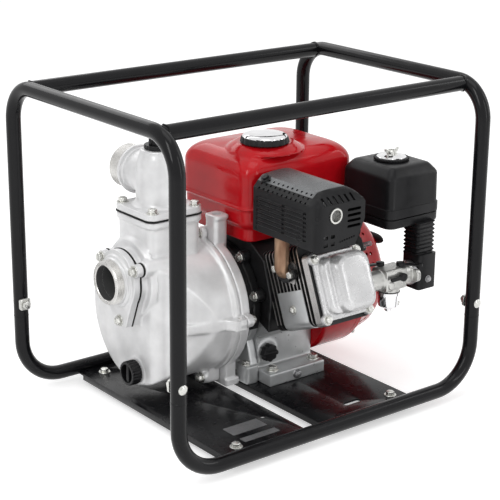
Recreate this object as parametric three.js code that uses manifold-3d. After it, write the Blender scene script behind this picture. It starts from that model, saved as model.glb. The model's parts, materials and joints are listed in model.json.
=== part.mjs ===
// Portable fire pump: a self-priming centrifugal pump close-coupled to a small inclined-cylinder
// petrol engine, both bolted to two base plates inside a welded and bolted tube frame.
// Millimetres, +Z up. X runs along the crankshaft: the pump is at -X and the recoil starter at +X.
// -Y is the cylinder side of the engine, and z = 0 is the floor under the rubber feet.
import * as THREE from "three";
import { mergeVertices } from "three/addons/utils/BufferGeometryUtils.js";
import Module from "manifold-3d";

const wasm = await Module();
wasm.setup();

// ---------------------------------------------------------------- driving dimensions
const ARC = 3; // facets to each quarter of a rounded corner
const GAP = 0.3; // seat clearance between touching pieces
const RUN = 0.5; // running clearance round a turning piece

const FRAME_L = 494; // post centres along X
const FRAME_W = 368; // post centres along Y
const TUBE_R = 10; // frame tube, outside radius
const TUBE_WALL = 1.7;
const RAIL_Z = 19; // centre of the lower rails
const HOOP_TOP_Z = 437; // centre of the hoops' top runs
const LOWER_BEND = 60; // centreline radius of the lower bends
const UPPER_BEND = 48;
const JOINT_Z = 116; // where the upper legs slide over the lower spigots
const SPIGOT_L = 34;
const BOLT_Z = 136; // the post bolts
const BOLT_R = 3;
const RAIL_INSET = 34.2; // top rails, inboard of the posts

const PLATE_T = 3;
const PLATE_Z = 16; // top of both base plates
const PLATE_FLANGE = 9;
const PUMP_PLATE_X = [-164, -32];
const ENGINE_PLATE_X = [-5, 153];
const FOOT_R = 16;
const FOOT_PLACES = [
  ["foot_pump_front", -136, -152],
  ["foot_pump_rear", -136, 152],
  ["foot_engine_front", 131, -150],
  ["foot_engine_rear", 131, 150],
];

const SHAFT_Y = 70; // crankshaft and pump axis
const SHAFT_Z = PLATE_Z + 108.5;
const SHAFT_R = 10; // the tapered end that carries the impeller
const JOURNAL_R = 12.5;

const RING_X = -32; // joint between pump casing and back plate
const CASING_R = 95;
const RING_R = CASING_R + 3;
const CASING_X = -142; // flat front face
const CASING_WALL = 7;
const FACE_EDGE_Y = 21; // near edge of the flat front face
const RING_T = 9;
const BACK_PLATE_T = 15;
const BOLT_CIRCLE_R = RING_R + 6;
const EAR_ANGLES = [98, 42, 180, 0, 246, 294]; // degrees from +Y towards +Z

const SUCTION_Z = 181.5; // suction port axis
const PORT_R = 29.8; // male pipe thread, outside radius
const BORE_R = 23.5;
const SUCTION_BOSS_X = -154;
const GASKET_T = 1.4;
const SUCTION_FLANGE_T = 10;
const SUCTION_THREAD_L = 18;

const OUTLET_X = -97; // discharge flange centre
const NECK_TOP_Z = 265;
const FLANGE_HALF = 44;
const FLANGE_T = 9;
const ELBOW_R = 30;
const ELBOW_TOP_Z = 314; // axis of the horizontal outlet
const ELBOW_END_Y = 144;

const DRAIN_Y = 62;
const DRAIN_Z = 49;
const DRAIN_R = 17;

const IMPELLER_R = 60;
const IMPELLER_X = [-66, -44];
const VOLUTE_X = [-92, RING_X - GAP];
const VOLUTE_R = 76;

const BLOCK_X = [16.3, 114];
const BLOCK_WALL_Y = -2; // front wall above the foot ledge
const COVER_X = [2.3, 16];
const COVER_R = CASING_R - 15;
const BEARING_R = 26;
const BEARING_W = 12;
const CYL_TILT = 22; // cylinder axis above horizontal, degrees
const CYL_X = 60;
const COVER_Y = -118; // centre of the valve cover joint
const COVER_Z = 181;
const HEAD_L = 58; // head and finned barrel along the cylinder axis
const BARREL_L = 52;
const FIN_PITCH = 9;
const HEAD_HALF_X = 40;
const HEAD_HALF_T = 47;
const FIN_TOP_T = 64; // the fins reach further above the cylinder axis than below it
const ROCKER_HALF_X = 44; // valve cover

const OIL_X = 33;
const OIL_Z = 56;

const FAN_X = [114.3, 180];
const FAN_R = 107;
const RECOIL_X = [180.3, 240];
const FLYWHEEL_X = [128, 158];
const FLYWHEEL_R = FAN_R - 19;
const FAN_BLADES = 8;
const REEL_X = [190, 206];
const REEL_R = 60;
const SHELL = 2; // pressed sheet and thin moulded walls

const TANK_X = [-6, 185];
const TANK_Y = [-6, 150];
const TANK_BOTTOM_Z = 216;
const TANK_SEAM_Z = 266;
const TANK_TOP_Z = 338;
const TANK_DOME_R = 48; // raised round land under the filler cap
const TANK_DOME_H = 7;
const TANK_STEP_X = 104; // the pan is shallower beyond here, over the fan housing
const TANK_STEP_Z = 234;
const CAP_X = 54;
const CAP_Y = 34;
const CAP_R = 34;

const SHIELD_X = [-4, 78];
const SHIELD_Y = [-145, -13];
const SHIELD_Z = [243, 320];
const PIPE_R = 8;
const PORT_Y = -60; // exhaust port on the head's side
const PORT_Z = 193;

const FILTER_X = [151, 247];
const FILTER_Y = [-115, -12];
const FILTER_BASE_Z = [236, 250];
const FILTER_TOP_Z = 320;
const CARB_Y = -110;
const CARB_Z = 169;
const BOWL_X = 159;
const BOWL_TOP_Z = CARB_Z - 19;

const SUCTION_BOLTS = [[-42, 24], [36, 24], [-6, -54]]; // from the port's axis
const FLAP_X = CASING_X + CASING_WALL + GAP;
const FLAP_PIN_Z = SUCTION_Z + BORE_R + 4;
const PRIMING_Z = 352;
const PRIMING_Y = SHAFT_Y - 2;
const FILTER_MID_X = (FILTER_X[0] + FILTER_X[1]) / 2;
const FILTER_MID_Y = (FILTER_Y[0] + FILTER_Y[1]) / 2;
const DUCT_X = [198, 232]; // intake duct under the filter
const DUCT_Y = [-128, -92];
const LEVER_Z = CARB_Z + 16 + GAP; // throttle and choke
const HANDLE_Y = SHAFT_Y - 30; // starter rope exit
const HANDLE_Z = SHAFT_Z + 52;
const HEAD_SIDE_X = CYL_X + HEAD_HALF_X + 2; // where the carburettor and plug meet the head
const SWITCH_X = 148;
const SWITCH_Z = SHAFT_Z - 6;
const VALVE_X = BOWL_X + 8; // fuel valve
const VALVE_Z = CARB_Z + 4;
const STUD_END = 2; // the filter stud stops this far under the lid

const RED = 0xc4141c;
const BLACK = 0x17181a;
const CAST = 0xc9cbcc;
const STEEL = 0x9b9da0;
const RUBBER = 0x1c1c1c;

// ---------------------------------------------------------------- solids
const X_AXIS = new THREE.Vector3(1, 0, 0);
const rad = THREE.MathUtils.degToRad;

function solid(geometry) {
  const plain = geometry.index ? geometry.toNonIndexed() : geometry.clone();
  plain.deleteAttribute("normal");
  plain.deleteAttribute("uv");
  const merged = mergeVertices(plain, 1e-4);
  return new wasm.Manifold(
    new wasm.Mesh({
      numProp: 3,
      vertProperties: new Float32Array(merged.attributes.position.array),
      triVerts: new Uint32Array(merged.index.array),
    }),
  );
}

const join = (...pieces) => pieces.reduce((sum, piece) => sum.add(piece));
const cut = (body, ...tools) => tools.reduce((left, tool) => left.subtract(tool), body);
const inset = (range, by) => [range[0] + by, range[1] - by];

function block(x, y, z) {
  const box = new THREE.BoxGeometry(x[1] - x[0], y[1] - y[0], z[1] - z[0]);
  box.translate((x[0] + x[1]) / 2, (y[0] + y[1]) / 2, (z[0] + z[1]) / 2);
  return solid(box);
}

// A round bar from one point to another; sides counts its facets.
function bar(from, to, radius, sides = 16, radiusTo = radius) {
  const a = new THREE.Vector3(...from);
  const along = new THREE.Vector3(...to).sub(a);
  const rod = new THREE.CylinderGeometry(radiusTo, radius, along.length(), sides);
  rod.translate(0, along.length() / 2, 0);
  const up = new THREE.Vector3(0, 1, 0);
  rod.applyQuaternion(new THREE.Quaternion().setFromUnitVectors(up, along.normalize()));
  rod.translate(a.x, a.y, a.z);
  return solid(rod);
}

const barX = (x, y, z, radius, sides, radiusTo) =>
  bar([x[0], y, z], [x[1], y, z], radius, sides, radiusTo);
const barZ = (x, y, z, radius, sides, radiusTo) =>
  bar([x, y, z[0]], [x, y, z[1]], radius, sides, radiusTo);

function shapeOf(points) {
  return new THREE.Shape(points.map(([a, b]) => new THREE.Vector2(a, b)));
}

// An outline in (Y, Z) extruded from x[0] to x[1].
function slabX(outline, x) {
  const shape = outline instanceof THREE.Shape ? outline : shapeOf(outline);
  const depth = x[1] - x[0];
  const slab = new THREE.ExtrudeGeometry(shape, { depth, bevelEnabled: false, curveSegments: ARC });
  const basis = new THREE.Matrix4().makeBasis(
    new THREE.Vector3(0, 1, 0), new THREE.Vector3(0, 0, 1), new THREE.Vector3(1, 0, 0));
  slab.applyMatrix4(basis);
  slab.translate(x[0], 0, 0);
  return solid(slab);
}

// An outline in (X, Y) extruded from z[0] to z[1].
function slabZ(outline, z) {
  const shape = outline instanceof THREE.Shape ? outline : shapeOf(outline);
  const depth = z[1] - z[0];
  const slab = new THREE.ExtrudeGeometry(shape, { depth, bevelEnabled: false, curveSegments: ARC });
  slab.translate(0, 0, z[0]);
  return solid(slab);
}

// A (radius, height) profile that closes on itself, turned about the X axis at (y, z).
function turnedX(profile, y, z, sides = 22) {
  const points = [...profile, profile[0]].map(([r, x]) => new THREE.Vector2(r, x));
  const ring = new THREE.LatheGeometry(points, sides);
  ring.rotateZ(-Math.PI / 2);
  ring.translate(0, y, z);
  const made = solid(ring);
  return made.volume() < 0 ? solid(reversed(ring)) : made;
}

function reversed(geometry) {
  const plain = geometry.toNonIndexed();
  const p = plain.attributes.position;
  const corner = new THREE.Vector3();
  const other = new THREE.Vector3();
  for (let i = 0; i < p.count; i += 3) {
    corner.fromBufferAttribute(p, i + 1);
    other.fromBufferAttribute(p, i + 2);
    p.setXYZ(i + 1, other.x, other.y, other.z);
    p.setXYZ(i + 2, corner.x, corner.y, corner.z);
  }
  return plain;
}

// A rectangle with rounded corners as a THREE.Shape.
function rounded(a, b, radius) {
  const shape = new THREE.Shape();
  const [a0, a1] = a;
  const [b0, b1] = b;
  shape.moveTo(a0 + radius, b0);
  shape.lineTo(a1 - radius, b0);
  shape.absarc(a1 - radius, b0 + radius, radius, -Math.PI / 2, 0);
  shape.lineTo(a1, b1 - radius);
  shape.absarc(a1 - radius, b1 - radius, radius, 0, Math.PI / 2);
  shape.lineTo(a0 + radius, b1);
  shape.absarc(a0 + radius, b1 - radius, radius, Math.PI / 2, Math.PI);
  shape.lineTo(a0, b0 + radius);
  shape.absarc(a0 + radius, b0 + radius, radius, Math.PI, Math.PI * 1.5);
  return shape;
}

// A path of straight runs joined by true arcs, sampled only where its direction changes.
class BentPath extends THREE.Curve {
  constructor(corners, bend, perBend = 6) {
    super();
    const knots = corners.map((p) => new THREE.Vector3(...p));
    const last = knots.length - 1;
    this.stations = [[knots[0], knots[1].clone().sub(knots[0]).normalize()]];
    for (let i = 1; i < last; i++) {
      const before = knots[i].clone().sub(knots[i - 1]).normalize();
      const after = knots[i + 1].clone().sub(knots[i]).normalize();
      const turn = before.angleTo(after);
      const inward = after.clone().sub(before).normalize();
      const centre = knots[i].clone().addScaledVector(inward, bend / Math.cos(turn / 2));
      const axis = before.clone().cross(after).normalize();
      const start = knots[i].clone().addScaledVector(before, -bend * Math.tan(turn / 2)).sub(centre);
      for (let k = 0; k <= perBend; k++) {
        const angle = (turn * k) / perBend;
        this.stations.push([
          start.clone().applyAxisAngle(axis, angle).add(centre),
          before.clone().applyAxisAngle(axis, angle),
        ]);
      }
    }
    this.stations.push([knots[last], knots[last].clone().sub(knots[last - 1]).normalize()]);
  }

  get steps() {
    return this.stations.length - 1;
  }

  getPointAt(u) {
    return this.stations[Math.round(u * this.steps)][0].clone();
  }

  getTangentAt(u) {
    return this.stations[Math.round(u * this.steps)][1].clone();
  }

  getSpacedPoints(count) {
    return Array.from({ length: count + 1 }, (_, i) => this.getPointAt(i / count));
  }
}

function tube(corners, bend, radius, sides = 10, perBend = 4) {
  const path = new BentPath(corners, bend, perBend);
  const section = new THREE.Shape();
  section.absarc(0, 0, radius, 0, Math.PI * 2);
  return solid(new THREE.ExtrudeGeometry(section, {
    steps: path.steps,
    extrudePath: path,
    curveSegments: sides / 2,
  }));
}

// ---------------------------------------------------------------- the assembly
const pump = new THREE.Group();

function add(name, body, color, roughness, metalness) {
  const mesh = body.getMesh();
  const geometry = new THREE.BufferGeometry();
  geometry.setAttribute("position", new THREE.BufferAttribute(mesh.vertProperties, 3));
  geometry.setIndex(new THREE.BufferAttribute(mesh.triVerts, 1));
  const piece = new THREE.Mesh(
    geometry,
    new THREE.MeshStandardMaterial({ color, roughness, metalness }),
  );
  piece.name = name;
  pump.add(piece);
}

const POST_X = FRAME_L / 2;
const POST_Y = FRAME_W / 2;
const TOP_RAIL_Y = POST_Y - RAIL_INSET;
const BEND_OFFSET = RAIL_INSET - UPPER_BEND;
const TOP_RAIL_Z = HOOP_TOP_Z - UPPER_BEND + Math.sqrt(UPPER_BEND ** 2 - BEND_OFFSET ** 2);

const lowerCorners = (y) => [
  [-POST_X, y, JOINT_Z], [-POST_X, y, RAIL_Z], [POST_X, y, RAIL_Z], [POST_X, y, JOINT_Z],
];
const hoopCorners = (x) => [
  [x, -POST_Y, JOINT_Z + GAP * 2], [x, -POST_Y, HOOP_TOP_Z],
  [x, POST_Y, HOOP_TOP_Z], [x, POST_Y, JOINT_Z + GAP * 2],
];
const boltHole = (x, y) =>
  bar([x, y - TUBE_R - 1, BOLT_Z], [x, y + TUBE_R + 1, BOLT_Z], BOLT_R + GAP, 12);

function lowerFrame(y) {
  let body = tube(lowerCorners(y), LOWER_BEND, TUBE_R);
  const spigotR = TUBE_R - TUBE_WALL - GAP;
  for (const x of [-POST_X, POST_X])
    body = cut(join(body, barZ(x, y, [JOINT_Z - 1, JOINT_Z + SPIGOT_L], spigotR, 14)), boltHole(x, y));
  return body;
}

function upperHoop(x) {
  let body = tube(hoopCorners(x), UPPER_BEND, TUBE_R);
  for (const y of [-POST_Y, POST_Y]) {
    const bore = barZ(x, y, [JOINT_Z, JOINT_Z + SPIGOT_L + 4], TUBE_R - TUBE_WALL, 14);
    body = cut(body, bore, boltHole(x, y));
  }
  return body;
}

function topRail(y) {
  const rail = barX([-POST_X, POST_X], y, TOP_RAIL_Z, TUBE_R, 14);
  const copes = [-POST_X, POST_X].map((x) => tube(hoopCorners(x), UPPER_BEND, TUBE_R + GAP));
  const whole = cut(rail, ...copes);
  return whole.decompose().reduce((best, part) => (part.volume() > best.volume() ? part : best));
}

// Hex bolt on the inner side of a post, with a saddle washer shaped to the tube.
function frameBolt(x, side) {
  const y = side * POST_Y;
  const inner = y - side * (TUBE_R + 0.2);
  const shank = bar([x, y + side * 4, BOLT_Z], [x, inner, BOLT_Z], BOLT_R, 12);
  const washer = block([x - 9, x + 9], [Math.min(inner + side * 6, inner - side * 2.6),
    Math.max(inner + side * 6, inner - side * 2.6)], [BOLT_Z - 9, BOLT_Z + 9]);
  const saddle = cut(washer, barZ(x, y, [BOLT_Z - 12, BOLT_Z + 12], TUBE_R + GAP, 22));
  const head = bar([x, inner - side * 2.4, BOLT_Z], [x, inner - side * 7.4, BOLT_Z], 5.8, 6);
  return join(saddle, head, shank);
}

function addFrame() {
  add("lower_frame_front", lowerFrame(-POST_Y), BLACK, 0.35, 0.2);
  add("lower_frame_rear", lowerFrame(POST_Y), BLACK, 0.35, 0.2);
  add("upper_hoop_left", upperHoop(-POST_X), BLACK, 0.35, 0.2);
  add("upper_hoop_right", upperHoop(POST_X), BLACK, 0.35, 0.2);
  add("top_rail_front", topRail(-TOP_RAIL_Y), BLACK, 0.35, 0.2);
  add("top_rail_rear", topRail(TOP_RAIL_Y), BLACK, 0.35, 0.2);
  for (const [end, x] of [["left", -POST_X], ["right", POST_X]]) {
    add(`frame_bolt_front_${end}`, frameBolt(x, -1), STEEL, 0.3, 0.9);
    add(`frame_bolt_rear_${end}`, frameBolt(x, 1), STEEL, 0.3, 0.9);
  }
}

// A pressed plate with turned-down long edges, ending against the insides of the lower rails.
function basePlate(x) {
  const reach = Math.sqrt(TUBE_R ** 2 - (RAIL_Z - PLATE_Z) ** 2);
  const half = POST_Y - reach - GAP;
  const sheet = block(x, [-half, half], [PLATE_Z - PLATE_T, PLATE_Z]);
  const lips = [x[0], x[1] - PLATE_T].map((edge) =>
    block([edge, edge + PLATE_T], [-half + TUBE_R, half - TUBE_R], [PLATE_Z - PLATE_FLANGE, PLATE_Z]));
  return join(sheet, ...lips);
}

function addBase() {
  add("pump_base_plate", basePlate(PUMP_PLATE_X), BLACK, 0.25, 0.3);
  add("engine_base_plate", basePlate(ENGINE_PLATE_X), BLACK, 0.25, 0.3);
  for (const [name, x, y] of FOOT_PLACES)
    add(name, barZ(x, y, [0, PLATE_Z - PLATE_T - GAP], FOOT_R, 20, FOOT_R - 3), RUBBER, 0.9, 0);
}

// ---------------------------------------------------------------- pump
const onCircle = (radius, degrees) => [
  SHAFT_Y + radius * Math.cos(rad(degrees)),
  SHAFT_Z + radius * Math.sin(rad(degrees)),
];

// The plan of the casing: a flat front whose near side swells out to the ring.
function casingPlan(inset) {
  const far = SHAFT_Y + RING_R + 2;
  const shape = new THREE.Shape();
  shape.moveTo(CASING_X + inset, FACE_EDGE_Y + 8 + inset);
  shape.quadraticCurveTo(CASING_X + inset, FACE_EDGE_Y - 3 + inset, CASING_X + 14, FACE_EDGE_Y - 10 + inset);
  const flank = SHAFT_Y - CASING_R - 4 + inset;
  shape.quadraticCurveTo(CASING_X + 52, flank, RING_X + 1, flank - 2);
  shape.lineTo(RING_X + 1, far);
  shape.lineTo(CASING_X + inset, far);
  return shape;
}

function ears(x, radius = 9) {
  return EAR_ANGLES.map((angle) => {
    const [y, z] = onCircle(BOLT_CIRCLE_R, angle);
    return barX(x, y, z, radius, 10);
  });
}

// Pear-shaped outline shared by the suction boss, its gasket and its flange.
function pear(x, grow = 0) {
  const pads = SUCTION_BOLTS.map(([dy, dz]) =>
    barX(x, SHAFT_Y + dy, SUCTION_Z + dz, 9 + grow, 10));
  const web = slabX([
    [SHAFT_Y - 41, SUCTION_Z - 8], [SHAFT_Y - 20, SUCTION_Z - 54],
    [SHAFT_Y + 7, SUCTION_Z - 60], [SHAFT_Y + 40, SUCTION_Z - 12],
    [SHAFT_Y + 36, SUCTION_Z + 24], [SHAFT_Y - 42, SUCTION_Z + 24],
  ], x);
  return join(barX(x, SHAFT_Y, SUCTION_Z, 42 + grow, 18), web, ...pads);
}

function pumpCasing() {
  const drum = barX([CASING_X, RING_X - GAP], SHAFT_Y, SHAFT_Z, CASING_R, 30);
  const body = drum.intersect(slabZ(casingPlan(0), [0, 260]));
  const ring = barX([RING_X - RING_T, RING_X - GAP], SHAFT_Y, SHAFT_Z, RING_R, 30);
  const half = FLANGE_HALF - 3;
  const neck = slabZ(rounded([OUTLET_X - half, OUTLET_X + half], [SHAFT_Y - half, SHAFT_Y + half], 9),
    [SHAFT_Z + 40, NECK_TOP_Z]);
  const boss = pear([SUCTION_BOSS_X, CASING_X + 4]);
  const rib = block([CASING_X + 30, RING_X - GAP], [SHAFT_Y - BOLT_CIRCLE_R - 8, SHAFT_Y - 60],
    [SHAFT_Z - 9, SHAFT_Z + 6]);
  const trimmedRib = rib.intersect(slabZ([
    [CASING_X + 30, SHAFT_Y - 60], [CASING_X + 30, SHAFT_Y - 86], [RING_X - 26, SHAFT_Y - 99],
    [RING_X - 18, SHAFT_Y - BOLT_CIRCLE_R - 8], [RING_X, SHAFT_Y - BOLT_CIRCLE_R - 8],
    [RING_X, SHAFT_Y - 60],
  ], [0, 260]));
  const drainBoss = barX([CASING_X - 1, CASING_X + 20], DRAIN_Y, DRAIN_Z, DRAIN_R + 3, 16);
  const inside = CASING_R - CASING_WALL;
  const chamber = barX([CASING_X + CASING_WALL, RING_X + 1], SHAFT_Y, SHAFT_Z, inside, 22)
    .intersect(slabZ(casingPlan(CASING_WALL), [0, 260]));
  const riser = slabZ(rounded([OUTLET_X - half + 7, OUTLET_X + half - 7],
    [SHAFT_Y - half + 7, SHAFT_Y + half - 7], 6), [SHAFT_Z + 40, NECK_TOP_Z + 1]);
  const suction = barX([SUCTION_BOSS_X - 1, CASING_X + 12], SHAFT_Y, SUCTION_Z, BORE_R, 16);
  const drain = barX([CASING_X - 2, CASING_X + 24], DRAIN_Y, DRAIN_Z, DRAIN_R - 6, 16);
  return cut(join(body, ring, neck, boss, trimmedRib, drainBoss, ...ears([RING_X - RING_T, RING_X - GAP])),
    chamber, riser, suction, drain);
}

function backPlate() {
  const x = [RING_X, RING_X + BACK_PLATE_T];
  const disc = barX(x, SHAFT_Y, SHAFT_Z, RING_R, 30);
  const hub = barX([x[1] - 1, COVER_X[0] - GAP], SHAFT_Y, SHAFT_Z, 58, 32, 52);
  const feet = [-1, 1].map((side) =>
    block([x[0], x[1] + 6], [SHAFT_Y + side * 50 - 12, SHAFT_Y + side * 50 + 12],
      [PLATE_Z + GAP, SHAFT_Z - 60]));
  const bracket = barZ(x[0] + 12.5, SHAFT_Y - 26, [SHAFT_Z + 70, SHAFT_Z + 130], 12, 14);
  const window = barX([x[1] + 3, COVER_X[0] - 4], SHAFT_Y, SHAFT_Z, 44, 18);
  const bore = barX([x[0] - 1, COVER_X[0]], SHAFT_Y, SHAFT_Z, 20, 18);
  const grip = block([x[1] + 4, COVER_X[0] - 5], [SHAFT_Y - 70, SHAFT_Y + 70], [SHAFT_Z - 24, SHAFT_Z + 24]);
  return cut(join(disc, hub, ...feet, bracket, ...ears(x)), window, bore, grip);
}

function suctionFlange() {
  const back = SUCTION_BOSS_X - GASKET_T - 2 * GAP;
  const face = back - SUCTION_FLANGE_T;
  const plate = pear([face, back]);
  const spigot = barX([face - SUCTION_THREAD_L, face + 1], SHAFT_Y, SUCTION_Z, PORT_R, 18);
  const collar = barX([face - 3, face + 1], SHAFT_Y, SUCTION_Z, PORT_R + 3, 18);
  const heads = SUCTION_BOLTS.map(([dy, dz]) =>
    barX([face - 6, face + 1], SHAFT_Y + dy, SUCTION_Z + dz, 6, 6));
  const bore = barX([face - SUCTION_THREAD_L - 1, back + 1], SHAFT_Y, SUCTION_Z, BORE_R, 16);
  return cut(join(plate, spigot, collar, ...heads), bore);
}

function suctionGasket() {
  const x = [SUCTION_BOSS_X - GASKET_T - GAP, SUCTION_BOSS_X - GAP];
  const bore = barX([x[0] - 1, x[1] + 1], SHAFT_Y, SUCTION_Z, BORE_R, 16);
  return cut(pear(x, 0.6), bore);
}

function checkValve() {
  const disc = barX([FLAP_X, FLAP_X + 3], SHAFT_Y, SUCTION_Z, BORE_R + 4, 22);
  const weight = barX([FLAP_X + 2, FLAP_X + 6], SHAFT_Y, SUCTION_Z, 15, 16);
  const hinge = block([FLAP_X, FLAP_X + 3], [SHAFT_Y - 10, SHAFT_Y + 10], [SUCTION_Z, FLAP_PIN_Z]);
  return join(disc, weight, hinge);
}

function dischargeElbow() {
  const z0 = NECK_TOP_Z + GASKET_T + 2 * GAP;
  const square = [SHAFT_Y - FLANGE_HALF, SHAFT_Y + FLANGE_HALF];
  const flange = slabZ(rounded([OUTLET_X - FLANGE_HALF, OUTLET_X + FLANGE_HALF], square, 12),
    [z0, z0 + FLANGE_T]);
  const corners = [
    [OUTLET_X, SHAFT_Y, z0 + 1],
    [OUTLET_X, SHAFT_Y, ELBOW_TOP_Z],
    [OUTLET_X, ELBOW_END_Y, ELBOW_TOP_Z],
  ];
  const pipe = tube(corners, 32, ELBOW_R, 16, 4);
  const bore = tube([[OUTLET_X, SHAFT_Y, z0 - 1], corners[1], [OUTLET_X, ELBOW_END_Y + 1, ELBOW_TOP_Z]],
    32, BORE_R, 12, 3);
  const shoulder = bar([OUTLET_X, ELBOW_END_Y - 28, ELBOW_TOP_Z], [OUTLET_X, ELBOW_END_Y - 24, ELBOW_TOP_Z],
    PORT_R + 3, 28);
  const tower = barZ(OUTLET_X, PRIMING_Y, [ELBOW_TOP_Z - 8, PRIMING_Z], 19, 16);
  const fill = barZ(OUTLET_X, PRIMING_Y, [ELBOW_TOP_Z - 4, PRIMING_Z + 1], 13, 12);
  const heads = [-1, 1].flatMap((sx) => [-1, 1].map((sy) =>
    barZ(OUTLET_X + sx * 34, SHAFT_Y + sy * 35, [z0 + FLANGE_T - 1, z0 + FLANGE_T + 6], 6, 6)));
  return cut(join(flange, pipe, shoulder, tower, ...heads), bore, fill);
}

function dischargeGasket() {
  const z = [NECK_TOP_Z + GAP, NECK_TOP_Z + GAP + GASKET_T];
  const half = FLANGE_HALF + 0.6;
  const sheet = slabZ(rounded([OUTLET_X - half, OUTLET_X + half], [SHAFT_Y - half, SHAFT_Y + half], 12), z);
  return cut(sheet, barZ(OUTLET_X, SHAFT_Y, [z[0] - 1, z[1] + 1], BORE_R + 8, 18));
}

function primingCap() {
  const y = PRIMING_Y;
  const z = PRIMING_Z + GAP;
  const rim = barZ(OUTLET_X, y, [z, z + 6], 20, 16);
  const grip = barZ(OUTLET_X, y, [z + 5, z + 16], 15, 8, 12);
  const plug = barZ(OUTLET_X, y, [z - 14, z + 1], 13 - RUN, 12);
  return join(rim, grip, plug);
}

function drainPlug() {
  const face = CASING_X - 1 - GAP;
  const head = barX([face - 15, face], DRAIN_Y, DRAIN_Z, DRAIN_R, 18);
  const cup = barX([face - 16, face - 5], DRAIN_Y, DRAIN_Z, DRAIN_R - 4, 16);
  const grip = block([face - 13, face - 4], [DRAIN_Y - DRAIN_R + 2, DRAIN_Y + DRAIN_R - 2],
    [DRAIN_Z - 3, DRAIN_Z + 3]);
  const stem = barX([face - 1, face + 14], DRAIN_Y, DRAIN_Z, DRAIN_R - 6 - RUN, 16);
  return join(cut(head, cup), grip, stem);
}

function impeller() {
  const [x0, x1] = IMPELLER_X;
  const shroud = barX([x1 - 4, x1], SHAFT_Y, SHAFT_Z, IMPELLER_R, 24);
  const hub = barX([x0 + 2, x1], SHAFT_Y, SHAFT_Z, 17, 18);
  const vanes = [0, 120, 240].map((angle) => {
    const blade = new THREE.Shape();
    const outer = IMPELLER_R - 1;
    blade.moveTo(12, 0);
    blade.quadraticCurveTo(26, 34, -8, outer);
    blade.lineTo(-13, outer - 2);
    blade.quadraticCurveTo(18, 33, 8, 6);
    const depth = x1 - 2 - x0;
    const vane = new THREE.ExtrudeGeometry(blade, { depth, bevelEnabled: false, curveSegments: 8 });
    vane.rotateZ(rad(angle));
    vane.applyMatrix4(new THREE.Matrix4().makeBasis(
      new THREE.Vector3(0, 1, 0), new THREE.Vector3(0, 0, 1), X_AXIS));
    vane.translate(x0, SHAFT_Y, SHAFT_Z);
    return solid(vane);
  });
  const bore = barX([x0 - 1, x1 + 1], SHAFT_Y, SHAFT_Z, SHAFT_R + GAP, 18);
  return cut(join(shroud, hub, ...vanes), bore);
}

// A cup round the impeller with a suction eye in front and a tangential outlet upwards.
function volute() {
  const [x0, x1] = VOLUTE_X;
  const shell = barX([x0, x1], SHAFT_Y, SHAFT_Z, VOLUTE_R, 30);
  const inside = barX([IMPELLER_X[0] - 6, x1 + 1], SHAFT_Y, SHAFT_Z, VOLUTE_R - 6, 30);
  const eye = barX([x0 - 1, x0 + 40], SHAFT_Y, SHAFT_Z, 20, 18);
  const outlet = block([IMPELLER_X[0] - 4, IMPELLER_X[1]], [SHAFT_Y + 34, SHAFT_Y + 62],
    [SHAFT_Z, SHAFT_Z + VOLUTE_R]);
  return cut(shell, inside, eye, outlet);
}

function addPump() {
  add("pump_casing", pumpCasing(), CAST, 0.45, 0.6);
  add("pump_back_plate", backPlate(), CAST, 0.45, 0.6);
  add("suction_flange", suctionFlange(), CAST, 0.45, 0.6);
  add("suction_gasket", suctionGasket(), RUBBER, 0.8, 0);
  add("check_valve_flap", checkValve(), RUBBER, 0.8, 0);
  add("discharge_elbow", dischargeElbow(), CAST, 0.45, 0.6);
  add("discharge_gasket", dischargeGasket(), RUBBER, 0.8, 0);
  add("priming_cap", primingCap(), BLACK, 0.5, 0);
  add("drain_plug", drainPlug(), BLACK, 0.5, 0);
  add("impeller", impeller(), STEEL, 0.5, 0.7);
  add("volute", volute(), STEEL, 0.5, 0.7);
  const seal = [RING_X + 1, RING_X + 12];
  add("mechanical_seal", turnedX([
    [SHAFT_R + GAP, seal[0]], [20 - GAP, seal[0]], [20 - GAP, seal[1]], [SHAFT_R + GAP, seal[1]],
  ], SHAFT_Y, SHAFT_Z, 18), RUBBER, 0.6, 0.2);
}

// ---------------------------------------------------------------- engine
// Places a solid drawn in cylinder coordinates: x across, y out along the cylinder axis
// from the valve cover joint, z across it upwards.
function onCylinder(body) {
  const tilt = rad(CYL_TILT);
  const out = [0, -Math.cos(tilt), Math.sin(tilt)];
  const up = [0, Math.sin(tilt), Math.cos(tilt)];
  return body.transform([
    -1, 0, 0, 0,
    0, out[1], out[2], 0,
    0, up[1], up[2], 0,
    CYL_X, COVER_Y, COVER_Z, 1,
  ]);
}

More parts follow.
